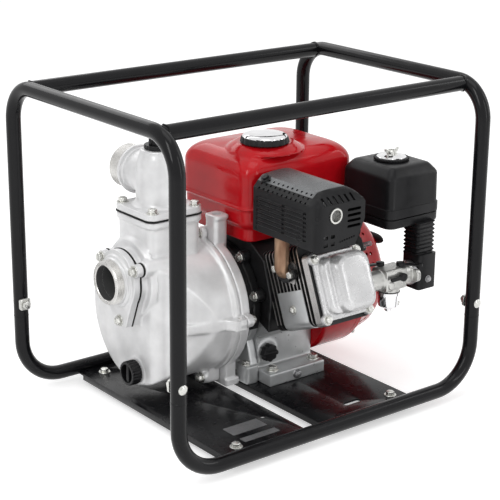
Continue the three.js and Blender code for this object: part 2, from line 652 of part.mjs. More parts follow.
function crankcase() {
  const z0 = PLATE_Z + GAP;
  const outline = [
    [-32, z0], [160, z0], [164, z0 + 40], [158, SHAFT_Z + 40], [132, SHAFT_Z + 78],
    [104, TANK_BOTTOM_Z - GAP], [18, TANK_BOTTOM_Z - GAP], [-14, SHAFT_Z + 70],
    [-30, SHAFT_Z + 20], [-26, SHAFT_Z - 30], [BLOCK_WALL_Y, SHAFT_Z - 44],
    [BLOCK_WALL_Y, z0 + 18], [-32, z0 + 18],
  ];
  const shell = slabX(outline, BLOCK_X);
  const mouth = onCylinder(block([-41, 41], [-HEAD_L - BARREL_L - 30, -HEAD_L - BARREL_L - GAP], [-40, 40]));
  const cavity = barX([BLOCK_X[0] - 1, BLOCK_X[1] - 14], SHAFT_Y, SHAFT_Z, 70, 24);
  const race = barX([BLOCK_X[0], BLOCK_X[1] + 1], SHAFT_Y, SHAFT_Z, JOURNAL_R + 2, 18);
  const seat = barX([BLOCK_X[1] - 14.5, BLOCK_X[1] - 1], SHAFT_Y, SHAFT_Z, BEARING_R + GAP, 22);
  const oilHole = bar([OIL_X, -40, OIL_Z], [OIL_X, 40, OIL_Z], 9 + GAP, 14);
  const footBolts = [[31, -17], [104, -17]].map(([x, y]) => barZ(x, y, [z0 + 17, z0 + 24], 6.5, 6));
  const clear = onCylinder(block([-60, 60], [-HEAD_L - BARREL_L - GAP, 40], [-60, 60]));
  return join(cut(join(shell, mouth), clear, cavity, race, seat, oilHole), ...footBolts);
}

function crankcaseCover() {
  const lug = (angle) => {
    const [y, z] = onCircle(COVER_R + 4, angle);
    return barX(COVER_X, y, z, 9, 14);
  };
  const disc = barX([COVER_X[0], COVER_X[1]], SHAFT_Y, SHAFT_Z, COVER_R, 30);
  const foot = block([COVER_X[0] - 8, COVER_X[1]], [-8, 20], [PLATE_Z + GAP, PLATE_Z + 26]);
  const web = slabX([
    [-8, PLATE_Z + 20], [20, PLATE_Z + 20], [60, SHAFT_Z - 40], [10, SHAFT_Z - 30],
  ], COVER_X);
  const head = barZ(0, 2, [PLATE_Z + 25, PLATE_Z + 32], 6.5, 6);
  const seat = barX([COVER_X[0] + 1.7, COVER_X[1] + 1], SHAFT_Y, SHAFT_Z, BEARING_R + GAP, 22);
  const bore = barX([COVER_X[0] - 1, COVER_X[1]], SHAFT_Y, SHAFT_Z, SHAFT_R + 3, 18);
  return cut(join(disc, foot, web, head, ...[35, 125, 165, 330].map(lug)), seat, bore);
}

function crankshaft() {
  const shaft = barX([IMPELLER_X[0] - 4, COVER_X[0] + 1.5], SHAFT_Y, SHAFT_Z, SHAFT_R, 18);
  const nut = barX([IMPELLER_X[0] - 8, IMPELLER_X[0] - GAP], SHAFT_Y, SHAFT_Z, 15, 6);
  const journal = barX([COVER_X[0] + 1, FLYWHEEL_X[1] + 8], SHAFT_Y, SHAFT_Z, JOURNAL_R, 18);
  const throwR = 22.5;
  const pin = barX([42, 92], SHAFT_Y, SHAFT_Z + throwR, 14, 16);
  const webs = [[38, 50], [82, 94]].map((x) => join(
    barX(x, SHAFT_Y, SHAFT_Z, 40, 22).intersect(
      block([0, 120], [SHAFT_Y - 50, SHAFT_Y + 50], [SHAFT_Z - 45, SHAFT_Z + 10])),
    block(x, [SHAFT_Y - 20, SHAFT_Y + 20], [SHAFT_Z, SHAFT_Z + throwR + 18]),
  ));
  const relief = block([50, 82], [SHAFT_Y - 30, SHAFT_Y + 30], [SHAFT_Z - 40, SHAFT_Z + 8]);
  return join(cut(journal, relief), shaft, nut, pin, ...webs);
}

const ring = (x, inner, outer) => turnedX([
  [inner, x[0]], [outer, x[0]], [outer, x[1]], [inner, x[1]],
], SHAFT_Y, SHAFT_Z, 22);

function cylinderHead() {
  const root = block([-HEAD_HALF_X + 7, HEAD_HALF_X - 7], [-HEAD_L - BARREL_L, -GAP],
    [-HEAD_HALF_T + 9, FIN_TOP_T - 12]);
  const fins = [];
  for (let y = -HEAD_L - BARREL_L + 34; y < -16; y += FIN_PITCH)
    fins.push(block([-HEAD_HALF_X, HEAD_HALF_X], [y, y + 3], [-HEAD_HALF_T, FIN_TOP_T]));
  const face = block([-HEAD_HALF_X - 2, HEAD_HALF_X + 2], [-12, -GAP], [-HEAD_HALF_T - 2, HEAD_HALF_T + 2]);
  const bore = bar([0, -HEAD_L - BARREL_L - 1, 0], [0, -44, 0], 34, 22);
  const portFace = block([CYL_X - HEAD_HALF_X - 1, CYL_X - 20], [PORT_Y - 18, PORT_Y + 18],
    [PORT_Z - 16, PORT_Z + 16]);
  const port = barX([CYL_X - HEAD_HALF_X - 2, CYL_X - 26], PORT_Y, PORT_Z, PIPE_R - 2, 12);
  return cut(join(onCylinder(cut(join(root, face, ...fins), bore)), portFace), port);
}

function valveCover() {
  const flange = block([-ROCKER_HALF_X, ROCKER_HALF_X], [0, 6], [-HEAD_HALF_T - 1, HEAD_HALF_T + 1]);
  const dome = block([-ROCKER_HALF_X + 4, ROCKER_HALF_X - 12], [5, 30], [-HEAD_HALF_T + 9, HEAD_HALF_T - 6]);
  const hollow = block(
    [-ROCKER_HALF_X + 8, ROCKER_HALF_X - 16], [-1, 26], [-HEAD_HALF_T + 13, HEAD_HALF_T - 10]);
  const heads = [-1, 1].flatMap((sx) => [-1, 1].map((sz) =>
    bar([sx * 37, 5, sz * 41], [sx * 37, 11, sz * 41], 6, 6)));
  return onCylinder(cut(join(flange, dome, ...heads), hollow));
}

// Pressed air guide wrapped under and beside the finned barrel.
function cylinderShroud() {
  const out = HEAD_HALF_X + 2 * GAP;
  const low = -HEAD_HALF_T - 2 * GAP;
  const y = [-HEAD_L - BARREL_L + 30, -26];
  const side = block([out, out + SHELL], y, [low, 6]);
  const pan = block([-out, out + SHELL], y, [low - SHELL, low]);
  return onCylinder(join(side, pan));
}

function muffler() {
  const x = [SHIELD_X[0] + 12, SHIELD_X[1] - 20];
  const y = [SHIELD_Y[0] + 12, SHIELD_Y[1] - 12];
  const can = slabZ(rounded(x, y, 12), [SHIELD_Z[0] + 8, SHIELD_Z[1] - 14]);
  const pinZ = [SHIELD_Z[1] - 16, SHIELD_Z[1] - SHELL - GAP];
  const pin = barZ((x[0] + x[1]) / 2, (y[0] + y[1]) / 2, pinZ, 7, 14);
  const tail = bar([28, y[0] + 4, 288], [28, SHIELD_Y[0] - 1, 288], 9.5, 14);
  const tailBore = bar([28, y[0] + 2, 288], [28, SHIELD_Y[0] - 2, 288], 7.5, 12);
  return cut(join(can, pin, tail), tailBore);
}

function mufflerShield() {
  const [x0, x1] = SHIELD_X;
  const [z0, z1] = SHIELD_Z;
  const section = (inset) => {
    const shape = [
      [x0 + inset, z0 - (inset ? 1 : 0)], [x1 - 16 - inset, z0 - (inset ? 1 : 0)], [x1 - inset, z0 + 34],
      [x1 - inset, z1 - 18], [x1 - 16 - inset / 2, z1 - inset], [x0 + 18 + inset / 2, z1 - inset],
      [x0 + inset, z1 - 16],
    ];
    const depth = SHIELD_Y[1] - SHIELD_Y[0] - 2 * inset;
    const slab = new THREE.ExtrudeGeometry(shapeOf(shape), { depth, bevelEnabled: false });
    slab.rotateX(Math.PI / 2);
    slab.translate(0, SHIELD_Y[1] - inset, 0);
    return solid(slab);
  };
  const tailHole = bar([28, SHIELD_Y[0] - 2, 288], [28, SHIELD_Y[0] + 6, 288], 11, 14);
  return cut(section(0), section(SHELL), tailHole);
}

function exhaustPipe() {
  const flangeX = CYL_X - HEAD_HALF_X - 1 - GAP;
  const top = SHIELD_Z[0] + 8 - GAP;
  const x = flangeX - 9;
  const pipe = tube([[flangeX, PORT_Y, PORT_Z], [x, PORT_Y, PORT_Z], [x, PORT_Y, top]], 8.8, PIPE_R, 12, 4);
  const oval = rounded([PORT_Y - 17, PORT_Y + 17], [PORT_Z - 12, PORT_Z + 12], 8);
  const plate = slabX(oval, [flangeX - 6, flangeX]);
  return join(pipe, plate);
}

function fuelTank() {
  const [x0, x1] = TANK_X;
  const [y0, y1] = TANK_Y;
  const layers = [
    [TANK_SEAM_Z, TANK_TOP_Z - 14, 0, 16], [TANK_TOP_Z - 15, TANK_TOP_Z - 5, 5, 18],
    [TANK_TOP_Z - 6, TANK_TOP_Z, 18, 24],
  ];
  const upper = layers.map(([a, b, inset, radius]) =>
    slabZ(rounded([x0 + inset, x1 - inset], [y0 + inset, y1 - inset], radius), [a, b]));
  const seam = slabZ(rounded([x0 - 3, x1 + 3], [y0 - 3, y1 + 3], 16), [TANK_SEAM_Z - 2, TANK_SEAM_Z + 2]);
  const pan = slabZ(rounded([x0 + 3, x1 - 3], [y0 + 3, y1 - 3], 14), [TANK_STEP_Z, TANK_SEAM_Z]);
  const sumpPlan = rounded([x0 + 10, TANK_STEP_X], [y0 + 10, y1 - 10], 12);
  const sump = slabZ(sumpPlan, [TANK_BOTTOM_Z, TANK_STEP_Z + 1]);
  const domeZ = [TANK_TOP_Z - 8, TANK_TOP_Z + TANK_DOME_H];
  const dome = barZ(CAP_X + 8, CAP_Y + 10, domeZ, TANK_DOME_R, 24, TANK_DOME_R - 8);
  const mouth = barZ(CAP_X, CAP_Y, [TANK_TOP_Z - 35, TANK_TOP_Z + TANK_DOME_H + 1], CAP_R - 12, 12);
  const inside = layers.map(([a, b, inset, radius], k) => slabZ(
    rounded([x0 + inset + SHELL, x1 - inset - SHELL], [y0 + inset + SHELL, y1 - inset - SHELL], radius),
    [k ? a - 2 * SHELL : a, b - SHELL]));
  const panInside = slabZ(rounded([x0 + 3 + SHELL, x1 - 3 - SHELL], [y0 + 3 + SHELL, y1 - 3 - SHELL], 14),
    [TANK_STEP_Z + SHELL, TANK_SEAM_Z + 1]);
  const sumpInside = slabZ(
    rounded([x0 + 10 + SHELL, TANK_STEP_X - SHELL], [y0 + 10 + SHELL, y1 - 10 - SHELL], 12),
    [TANK_BOTTOM_Z + SHELL, TANK_STEP_Z + SHELL + 1]);
  return cut(join(seam, pan, sump, ...upper, dome), panInside, sumpInside, mouth, ...inside);
}

function fuelCap() {
  const z = TANK_TOP_Z + TANK_DOME_H + GAP;
  const lid = barZ(CAP_X, CAP_Y, [z, z + 13], CAP_R, 24, CAP_R - 3);
  const plug = barZ(CAP_X, CAP_Y, [z - 14, z + 1], CAP_R - 12 - RUN, 12);
  return join(lid, plug);
}

function filterBase() {
  const tray = slabZ(rounded(FILTER_X, FILTER_Y, 12), FILTER_BASE_Z);
  const duct = slabZ(rounded(DUCT_X, [DUCT_Y[0] + 5, DUCT_Y[1]], 6), [CARB_Z + 20, FILTER_BASE_Z[0] + 1]);
  const elbow = slabZ(rounded(DUCT_X, DUCT_Y, 6), [CARB_Z - 24, CARB_Z + 40]);
  const stud = barZ(FILTER_MID_X, FILTER_MID_Y, [FILTER_BASE_Z[1] - 2, FILTER_TOP_Z - STUD_END], 3, 12);
  const throat = barX([DUCT_X[0] - 1, DUCT_X[0] + 24], CARB_Y, CARB_Z, 14, 16);
  return cut(join(tray, duct, elbow, stud), throat);
}

function filterCover() {
  const z0 = FILTER_BASE_Z[1] + GAP;
  const low = slabZ(rounded(FILTER_X, FILTER_Y, 12), [z0, FILTER_TOP_Z - 14]);
  const mid = slabZ(rounded(inset(FILTER_X, 7), inset(FILTER_Y, 7), 12), [FILTER_TOP_Z - 15,
    FILTER_TOP_Z - 6]);
  const lid = slabZ(rounded(inset(FILTER_X, 16), inset(FILTER_Y, 16), 12), [FILTER_TOP_Z - 7, FILTER_TOP_Z]);
  const hollow = slabZ(rounded(inset(FILTER_X, SHELL + 1), inset(FILTER_Y, SHELL + 1), 10), [z0 - 1,
    FILTER_TOP_Z - 17]);
  const crown = slabZ(rounded(inset(FILTER_X, 20), inset(FILTER_Y, 20), 8), [FILTER_TOP_Z - 18,
    FILTER_TOP_Z - 3]);
  const hole = barZ(FILTER_MID_X, FILTER_MID_Y, [FILTER_TOP_Z - 5, FILTER_TOP_Z + 1], 3 + GAP, 12);
  return cut(join(low, mid, lid), hollow, crown, hole);
}

function filterElement() {
  const z = [FILTER_BASE_Z[1] + GAP, FILTER_TOP_Z - 22];
  const foam = slabZ(rounded(inset(FILTER_X, 12), inset(FILTER_Y, 14), 12), z);
  return cut(foam, slabZ(rounded(inset(FILTER_X, 26), inset(FILTER_Y, 28), 8), [z[0] - 1, z[1] + 1]));
}

function wingNut() {
  const z = FILTER_TOP_Z + GAP;
  const disc = barZ(FILTER_MID_X, FILTER_MID_Y, [z, z + 3], 25, 18);
  const hub = barZ(FILTER_MID_X, FILTER_MID_Y, [z + 2, z + 12], 6, 12);
  const wings = block([FILTER_MID_X - 13, FILTER_MID_X + 13], [FILTER_MID_Y - 1.5, FILTER_MID_Y + 1.5],
    [z + 6, z + 15]);
  const bore = barZ(FILTER_MID_X, FILTER_MID_Y, [z - 1, z + 16], 3 + GAP, 12);
  return cut(join(disc, hub, wings), bore);
}

function carburettor() {
  const x0 = HEAD_SIDE_X + GAP;
  const x1 = DUCT_X[0] - GAP;
  const body = block([BOWL_X - 20, BOWL_X + 20], [CARB_Y - 16, CARB_Y + 16], [CARB_Z - 16, CARB_Z + 16]);
  const runner = barX([x0, x1], CARB_Y, CARB_Z, 15, 16);
  const flanges = [[x0, x0 + 7], [x1 - 6, x1]].map((x) =>
    slabX(rounded([CARB_Y - 24, CARB_Y + 24], [CARB_Z - 16, CARB_Z + 16], 8), x));
  const neck = barZ(BOWL_X, CARB_Y, [BOWL_TOP_Z + GAP, CARB_Z - 10], 15, 14);
  const bore = barX([x0 - 1, x1 + 1], CARB_Y, CARB_Z, 9, 12);
  const coverClear = onCylinder(block(
    [-ROCKER_HALF_X - GAP, ROCKER_HALF_X + GAP], [-2 * GAP, 40], [-HEAD_HALF_T - 4, HEAD_HALF_T + 4]));
  return cut(join(body, runner, ...flanges, neck), bore, coverClear);
}

function floatBowl() {
  const bottom = BOWL_TOP_Z - 23;
  const cup = barZ(BOWL_X, CARB_Y, [bottom, BOWL_TOP_Z], 14, 16, 12);
  const nut = barZ(BOWL_X, CARB_Y, [bottom - 6, bottom + 1], 6, 6);
  return join(cup, nut);
}

// A flat lever with a round boss at its pivot, swung about a vertical pin.
function lever(x, y, reach, angle) {
  const arm = new THREE.Shape();
  arm.moveTo(0, -4);
  arm.lineTo(reach, -3);
  arm.absarc(reach, 0, 3, -Math.PI / 2, Math.PI / 2);
  arm.lineTo(0, 4);
  const depth = 2.4;
  const plate = new THREE.ExtrudeGeometry(arm, { depth, bevelEnabled: false, curveSegments: 5 });
  plate.rotateZ(rad(angle));
  plate.translate(x, y, LEVER_Z);
  return join(solid(plate), barZ(x, y, [LEVER_Z, LEVER_Z + 6], 6, 12));
}

function flywheel() {
  const [x0, x1] = FLYWHEEL_X;
  const dish = ring([x0, x0 + 14], JOURNAL_R + GAP, FLYWHEEL_R - 12);
  const hub = ring([x0, x1], JOURNAL_R + GAP, 24);
  const blades = Array.from({ length: FAN_BLADES }, (_, i) => {
    const blade = new THREE.BoxGeometry(x1 - x0 - 8, 44, 3);
    blade.rotateX(rad(18));
    blade.translate((x0 + x1) / 2 + 4, 62, 0);
    blade.rotateX(rad((i * 360) / FAN_BLADES));
    blade.translate(0, SHAFT_Y, SHAFT_Z);
    return solid(blade);
  });
  return join(dish, hub, ...blades);
}

function starterCup() {
  const x = [FLYWHEEL_X[1] + GAP, FLYWHEEL_X[1] + 18];
  return turnedX([
    [14, x[0]], [34, x[0]], [34, x[1]], [31, x[1]], [31, x[0] + 3], [14, x[0] + 3],
  ], SHAFT_Y, SHAFT_Z, 22);
}

function fanHousing() {
  const [x0, x1] = FAN_X;
  return turnedX([
    [34, x0], [FAN_R, x0], [FAN_R, x1], [FAN_R - SHELL, x1], [FAN_R - SHELL, x0 + SHELL], [34, x0 + SHELL],
  ], SHAFT_Y, SHAFT_Z, 30);
}

function recoilCover() {
  const [x0, x1] = RECOIL_X;
  const shell = turnedX([
    [FAN_R, x0], [FAN_R, x0 + 10], [FAN_R - 12, x1 - 14], [FAN_R - 26, x1], [10, x1],
    [10, x0 + 4], [4, x0 + 4], [4, x1 - SHELL], [FAN_R - 27, x1 - SHELL],
    [FAN_R - 14, x1 - 15], [FAN_R - SHELL, x0 + 9], [FAN_R - SHELL, x0],
  ], SHAFT_Y, SHAFT_Z, 30);
  const exit = barX([x1 - 6, x1 + 1], HANDLE_Y, HANDLE_Z, 5, 12);
  return cut(shell, exit);
}

function starterReel() {
  const [x0, x1] = REEL_X;
  return turnedX([
    [10 + RUN, x0], [REEL_R, x0], [REEL_R, x0 + 3], [REEL_R - 10, x0 + 3],
    [REEL_R - 10, x1 - 3], [REEL_R, x1 - 3], [REEL_R, x1], [10 + RUN, x1],
  ], SHAFT_Y, SHAFT_Z, 30);
}

function starterHandle() {
  const x = RECOIL_X[1] + GAP;
  const grip = block([x + 2, x + 15], [HANDLE_Y - 42, HANDLE_Y + 42], [HANDLE_Z - 8, HANDLE_Z + 8]);
  const boss = barX([x, x + 4], HANDLE_Y, HANDLE_Z, 9, 12);
  const rope = barX([x - 8, x + 3], HANDLE_Y, HANDLE_Z, 2.5, 10);
  return join(grip, boss, rope);
}

function oilPlug() {
  const y = BLOCK_WALL_Y - GAP;
  const cap = bar([OIL_X, y, OIL_Z], [OIL_X, y - 12, OIL_Z], 13, 8);
  const stem = bar([OIL_X, y - 1, OIL_Z], [OIL_X, y + 12, OIL_Z], 9 - 0.2, 14);
  return join(cap, stem);
}

function sparkPlugCap() {
  const at = [HEAD_SIDE_X + 4.6, COVER_Y + 24, COVER_Z + 26];
  const elbowAt = [at[0] + 16, at[1] - 4, at[2] + 8];
  return join(bar(at, elbowAt, 8, 12), bar(elbowAt, [elbowAt[0] + 4, elbowAt[1] + 26, elbowAt[2] + 14],
    5.5, 12));
}

function engineSwitch() {
  const y = SHAFT_Y - FAN_R - GAP;
  return join(bar([SWITCH_X, y, SWITCH_Z], [SWITCH_X, y - 8, SWITCH_Z], 10, 12),
    block([SWITCH_X - 9, SWITCH_X + 9], [y - 14, y - 7], [SWITCH_Z - 2.5, SWITCH_Z + 2.5]));
}

function fuelValveLever() {
  const y = CARB_Y - 16 - GAP;
  const boss = bar([VALVE_X, y, VALVE_Z], [VALVE_X, y - 6, VALVE_Z], 6, 14);
  return join(boss, block([VALVE_X - 24, VALVE_X], [y - 6, y - 3], [VALVE_Z - 3, VALVE_Z + 3]));
}

function ignitionCoil() {
  const x = [FLYWHEEL_X[0] + 2, FLYWHEEL_X[0] + 20];
  const outer = FAN_R - SHELL - 3 * GAP;
  const pad = block(x, [SHAFT_Y - 16, SHAFT_Y + 16], [SHAFT_Z + FLYWHEEL_R + 2, SHAFT_Z + outer + 5]);
  return pad.intersect(barX(x, SHAFT_Y, SHAFT_Z, outer, 30));
}

function addEngine() {
  add("crankcase", crankcase(), CAST, 0.5, 0.6);
  add("crankcase_cover", crankcaseCover(), CAST, 0.5, 0.6);
  add("crankshaft", crankshaft(), STEEL, 0.35, 0.9);
  add("bearing_pump_side", ring([COVER_X[0] + 1.9, COVER_X[0] + 1.9 + BEARING_W - 0.5], JOURNAL_R + GAP,
    BEARING_R),
    STEEL, 0.3, 0.9);
  add("bearing_fan_side", ring([BLOCK_X[1] - 14, BLOCK_X[1] - 2], JOURNAL_R + GAP, BEARING_R), STEEL,
    0.3, 0.9);
  add("cylinder_head", cylinderHead(), BLACK, 0.6, 0.5);
  add("valve_cover", valveCover(), CAST, 0.25, 0.8);
  add("cylinder_shroud", cylinderShroud(), CAST, 0.3, 0.8);
  add("muffler", muffler(), STEEL, 0.6, 0.7);
  add("muffler_shield", mufflerShield(), BLACK, 0.4, 0.4);
  add("exhaust_pipe", exhaustPipe(), 0x7a5a45, 0.45, 0.8);
  add("fuel_tank", fuelTank(), RED, 0.2, 0.1);
  add("fuel_cap", fuelCap(), STEEL, 0.1, 1);
  add("air_filter_base", filterBase(), BLACK, 0.5, 0);
  add("air_filter_cover", filterCover(), BLACK, 0.4, 0);
  add("air_filter_element", filterElement(), 0x3a3a3a, 0.95, 0);
  add("wing_nut", wingNut(), STEEL, 0.15, 1);
  add("carburettor", carburettor(), CAST, 0.4, 0.7);
  add("float_bowl", floatBowl(), CAST, 0.3, 0.8);
  add("throttle_lever", lever(BOWL_X - 10, CARB_Y + 8, 34, 165), BLACK, 0.5, 0.3);
  add("choke_lever", lever(BOWL_X + 12, CARB_Y - 8, 30, -50), BLACK, 0.5, 0);
  add("flywheel", flywheel(), STEEL, 0.5, 0.8);
  add("starter_cup", starterCup(), STEEL, 0.4, 0.9);
  add("fan_housing", fanHousing(), RED, 0.3, 0.1);
  add("recoil_cover", recoilCover(), RED, 0.3, 0.1);
  add("starter_reel", starterReel(), BLACK, 0.6, 0);
  add("starter_handle", starterHandle(), BLACK, 0.6, 0);
  add("oil_plug", oilPlug(), BLACK, 0.5, 0);
  add("spark_plug_cap", sparkPlugCap(), RUBBER, 0.6, 0);
  add("engine_switch", engineSwitch(), RED, 0.5, 0);
  add("fuel_valve_lever", fuelValveLever(), BLACK, 0.5, 0);
  add("ignition_coil", ignitionCoil(), BLACK, 0.5, 0.2);
}

addFrame();
addBase();
addPump();
addEngine();

export default pump;
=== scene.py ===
import json
import math

import bmesh
import bpy
from mathutils import Matrix, Quaternion, Vector

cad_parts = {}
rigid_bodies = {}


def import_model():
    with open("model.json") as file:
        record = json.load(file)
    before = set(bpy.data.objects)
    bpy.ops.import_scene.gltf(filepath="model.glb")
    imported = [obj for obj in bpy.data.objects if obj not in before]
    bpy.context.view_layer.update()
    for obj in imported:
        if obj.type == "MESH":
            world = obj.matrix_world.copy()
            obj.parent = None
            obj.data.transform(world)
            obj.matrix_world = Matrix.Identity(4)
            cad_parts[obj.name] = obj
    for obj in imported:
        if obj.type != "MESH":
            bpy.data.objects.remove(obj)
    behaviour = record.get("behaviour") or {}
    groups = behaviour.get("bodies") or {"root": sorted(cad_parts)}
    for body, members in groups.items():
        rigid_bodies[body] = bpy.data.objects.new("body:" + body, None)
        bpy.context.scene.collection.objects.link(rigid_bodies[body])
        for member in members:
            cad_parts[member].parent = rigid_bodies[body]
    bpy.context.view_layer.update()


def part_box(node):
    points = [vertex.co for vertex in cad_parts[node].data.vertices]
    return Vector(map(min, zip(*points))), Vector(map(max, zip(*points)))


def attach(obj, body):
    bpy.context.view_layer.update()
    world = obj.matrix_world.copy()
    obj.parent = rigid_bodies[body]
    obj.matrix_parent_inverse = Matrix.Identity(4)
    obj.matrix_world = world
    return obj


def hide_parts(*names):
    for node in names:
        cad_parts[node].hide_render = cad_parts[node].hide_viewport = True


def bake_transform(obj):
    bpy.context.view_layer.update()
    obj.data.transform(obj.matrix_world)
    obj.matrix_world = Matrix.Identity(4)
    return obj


bl_info = {
    "name": "Portable Fire Pump",
    "version": (1, 0, 0),
    "blender": (4, 5, 0),
    "location": "View3D > Sidebar > Fire Pump",
    "description": "Builds a frame-mounted petrol water pump piece by piece around its packed model",
    "category": "Add Mesh",
}

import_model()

MM = 0.001  # every size below is in millimetres; meshes are scaled once, when they become objects


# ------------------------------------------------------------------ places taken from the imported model
def span(node):
    low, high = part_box(node)
    return Vector(low) / MM, Vector(high) / MM


def middle(node):
    low, high = span(node)
    return (low + high) / 2


SHAFT_Y = middle("fan_housing").y
SHAFT_Z = middle("fan_housing").z
POST_X = middle("upper_hoop_right").x
TUBE_R = 10.0
POST_Y = span("upper_hoop_right")[1].y - TUBE_R
RAIL_Z = span("lower_frame_front")[0].z + TUBE_R - 0.5
HOOP_TOP_Z = span("upper_hoop_left")[1].z - TUBE_R
JOINT_Z = span("upper_hoop_left")[0].z
LOWER_BEND = 60.0
UPPER_BEND = 48.0
PLATE_TOP = span("pump_base_plate")[1].z
CYL_TILT = math.radians(22)
CYL_X = middle("valve_cover").x
CYL_Y = -118.0
CYL_Z = 181.0


# ------------------------------------------------------------------ shapes, all in millimetres
def loft(bm, rings, closed=False, caps=True):
    """Skin a list of equal rings of points; closed joins the last ring to the first."""
    rows = [[bm.verts.new(p) for p in ring] for ring in rings]
    count = len(rows[0])
    pairs = list(zip(rows, rows[1:]))
    if closed:
        pairs.append((rows[-1], rows[0]))
    for a, b in pairs:
        for i in range(count):
            j = (i + 1) % count
            bm.faces.new((a[i], a[j], b[j], b[i]))
    if caps and not closed:
        bm.faces.new(rows[0])
        bm.faces.new(list(reversed(rows[-1])))
    return rows


def basis(axis):
    """A turn that carries +Z to the axis."""
    return Vector((0, 0, 1)).rotation_difference(Vector(axis).normalized()).to_matrix()


def lathe(bm, profile, origin, axis, sides=64, closed=False, phase=0.0):
    """Turn a (radius, height) profile about an axis through origin."""
    turn = basis(axis)
    start = Vector(origin)
    rings = []
    for radius, height in profile:
        ring = []
        for i in range(sides):
            angle = phase + math.tau * i / sides
            ring.append(start + turn @ Vector((radius * math.cos(angle), radius * math.sin(angle), height)))
        rings.append(ring)
    loft(bm, rings, closed=closed)


def rod(bm, start, end, radius, sides=48, end_radius=None, edge=0.0):
    """A round bar with an optional small chamfer at both ends."""
    length = (Vector(end) - Vector(start)).length
    last = radius if end_radius is None else end_radius
    profile = [(radius - edge, 0), (radius, edge), (last, length - edge), (last - edge, length)]
    if not edge:
        profile = [(radius, 0), (last, length)]
    lathe(bm, profile, start, Vector(end) - Vector(start), sides)


def prism(bm, outline, low, high, axis="z"):
    """Extrude an outline: x slabs take (y, z), y slabs take (x, z), z slabs take (x, y)."""
    put = {
        "x": lambda a, b, c: (c, a, b),
        "y": lambda a, b, c: (a, c, b),
        "z": lambda a, b, c: (a, b, c),
    }[axis]
    loft(bm, [[put(a, b, level) for a, b in outline] for level in (low, high)])


def rounded(a, b, radius, steps=6):
    """A rectangle with rounded corners; a and b are its two ranges."""
    points = []
    corners = ((a[1], b[0], -90), (a[1], b[1], 0), (a[0], b[1], 90), (a[0], b[0], 180))
    for x, y, first in corners:
        cx = x - radius if x == a[1] else x + radius
        cy = y - radius if y == b[1] else y + radius
        for k in range(steps + 1):
            angle = math.radians(first + 90 * k / steps)
            points.append((cx + radius * math.cos(angle), cy + radius * math.sin(angle)))
    return points


def block(bm, x, y, z, radius=0.0, axis="z"):
    """A block; with a radius its edges along the axis are rounded."""
    ranges = {"x": (y, z, x), "y": (x, z, y), "z": (x, y, z)}[axis]
    a, b, c = ranges
    if radius:
        outline = rounded(a, b, radius)
    else:
        outline = [(a[0], b[0]), (a[1], b[0]), (a[1], b[1]), (a[0], b[1])]
    prism(bm, outline, c[0], c[1], axis)


def bent(corners, radius, steps=14):
    """Points of straight runs joined by true arcs."""
    knots = [Vector(p) for p in corners]
    points = [knots[0]]
    for before, here, after in zip(knots, knots[1:], knots[2:]):
        arriving = (here - before).normalized()
        leaving = (after - here).normalized()
        turn = arriving.angle(leaving)
        centre = here + (leaving - arriving).normalized() * radius / math.cos(turn / 2)
        spin = arriving.cross(leaving).normalized()
        first = here - arriving * radius * math.tan(turn / 2) - centre
        for k in range(steps + 1):
            points.append(centre + Quaternion(spin, turn * k / steps) @ first)
    points.append(knots[-1])
    return points


def sweep(bm, points, radius, sides=32, caps=True):
    """A round tube along points; radius is one number or one for each point."""
    points = [Vector(p) for p in points]
    radii = radius if isinstance(radius, (list, tuple)) else [radius] * len(points)
    directions = []
    for i in range(len(points)):
        ahead = points[min(i + 1, len(points) - 1)] - points[max(i - 1, 0)]
        directions.append(ahead.normalized())
    across = directions[0].orthogonal().normalized()
    rings = []
    for i, point in enumerate(points):
        if i:
            across = directions[i - 1].rotation_difference(directions[i]) @ across
        other = directions[i].cross(across)
        rings.append([
            point + (across * math.cos(math.tau * k / sides)
                     + other * math.sin(math.tau * k / sides)) * radii[i]
            for k in range(sides)])
    loft(bm, rings, caps=caps)


def smooth_path(points, per_span=8):
    """A Catmull-Rom curve through the points."""
    knots = [Vector(p) for p in points]
    knots = [knots[0] * 2 - knots[1]] + knots + [knots[-1] * 2 - knots[-2]]
    curve = []
    for a, b, c, d in zip(knots, knots[1:], knots[2:], knots[3:]):
        for k in range(per_span):
            t = k / per_span
            curve.append(0.5 * (2 * b + (c - a) * t + (2 * a - 5 * b + 4 * c - d) * t * t
                                + (3 * b - a - 3 * c + d) * t ** 3))
    curve.append(knots[-2])
    return curve


def hex_bolt(bm, foot, axis, size=6.0, height=5.0, washer=9.0):
    """A chamfered hex head of that corner radius on a washer, standing on foot."""
    axis = Vector(axis).normalized()
    foot = Vector(foot)
    lathe(bm, [(washer, 0), (washer, 0.9), (washer - 0.5, 1.3)], foot, axis, 28)
    profile = [(size * 0.97, 0), (size, 0.5), (size, height - 0.9), (size * 0.84, height)]
    lathe(bm, profile, foot + axis * 1.3, axis, 6, phase=0.3)
    lathe(bm, [(size * 0.45, 0), (size * 0.4, 0.5)], foot + axis * (height + 1.2), axis, 16)


def tilted(bm, first_vert=0):
    """Carry points drawn in cylinder axes (across, outwards, up) to their place on the engine."""
    out = Vector((0, -math.cos(CYL_TILT), math.sin(CYL_TILT)))
    up = Vector((0, math.sin(CYL_TILT), math.cos(CYL_TILT)))
    seat = Vector((CYL_X, CYL_Y, CYL_Z))
    for vert in list(bm.verts)[first_vert:]:
        across, outward, rise = vert.co
        vert.co = seat + Vector((across, 0, 0)) + out * outward + up * rise


# ------------------------------------------------------------------ objects
def settle(obj):
    """Apply every modifier of an object to its mesh."""
    graph = bpy.context.evaluated_depsgraph_get()
    mesh = bpy.data.meshes.new_from_object(obj.evaluated_get(graph))
    obj.modifiers.clear()
    obj.data = mesh


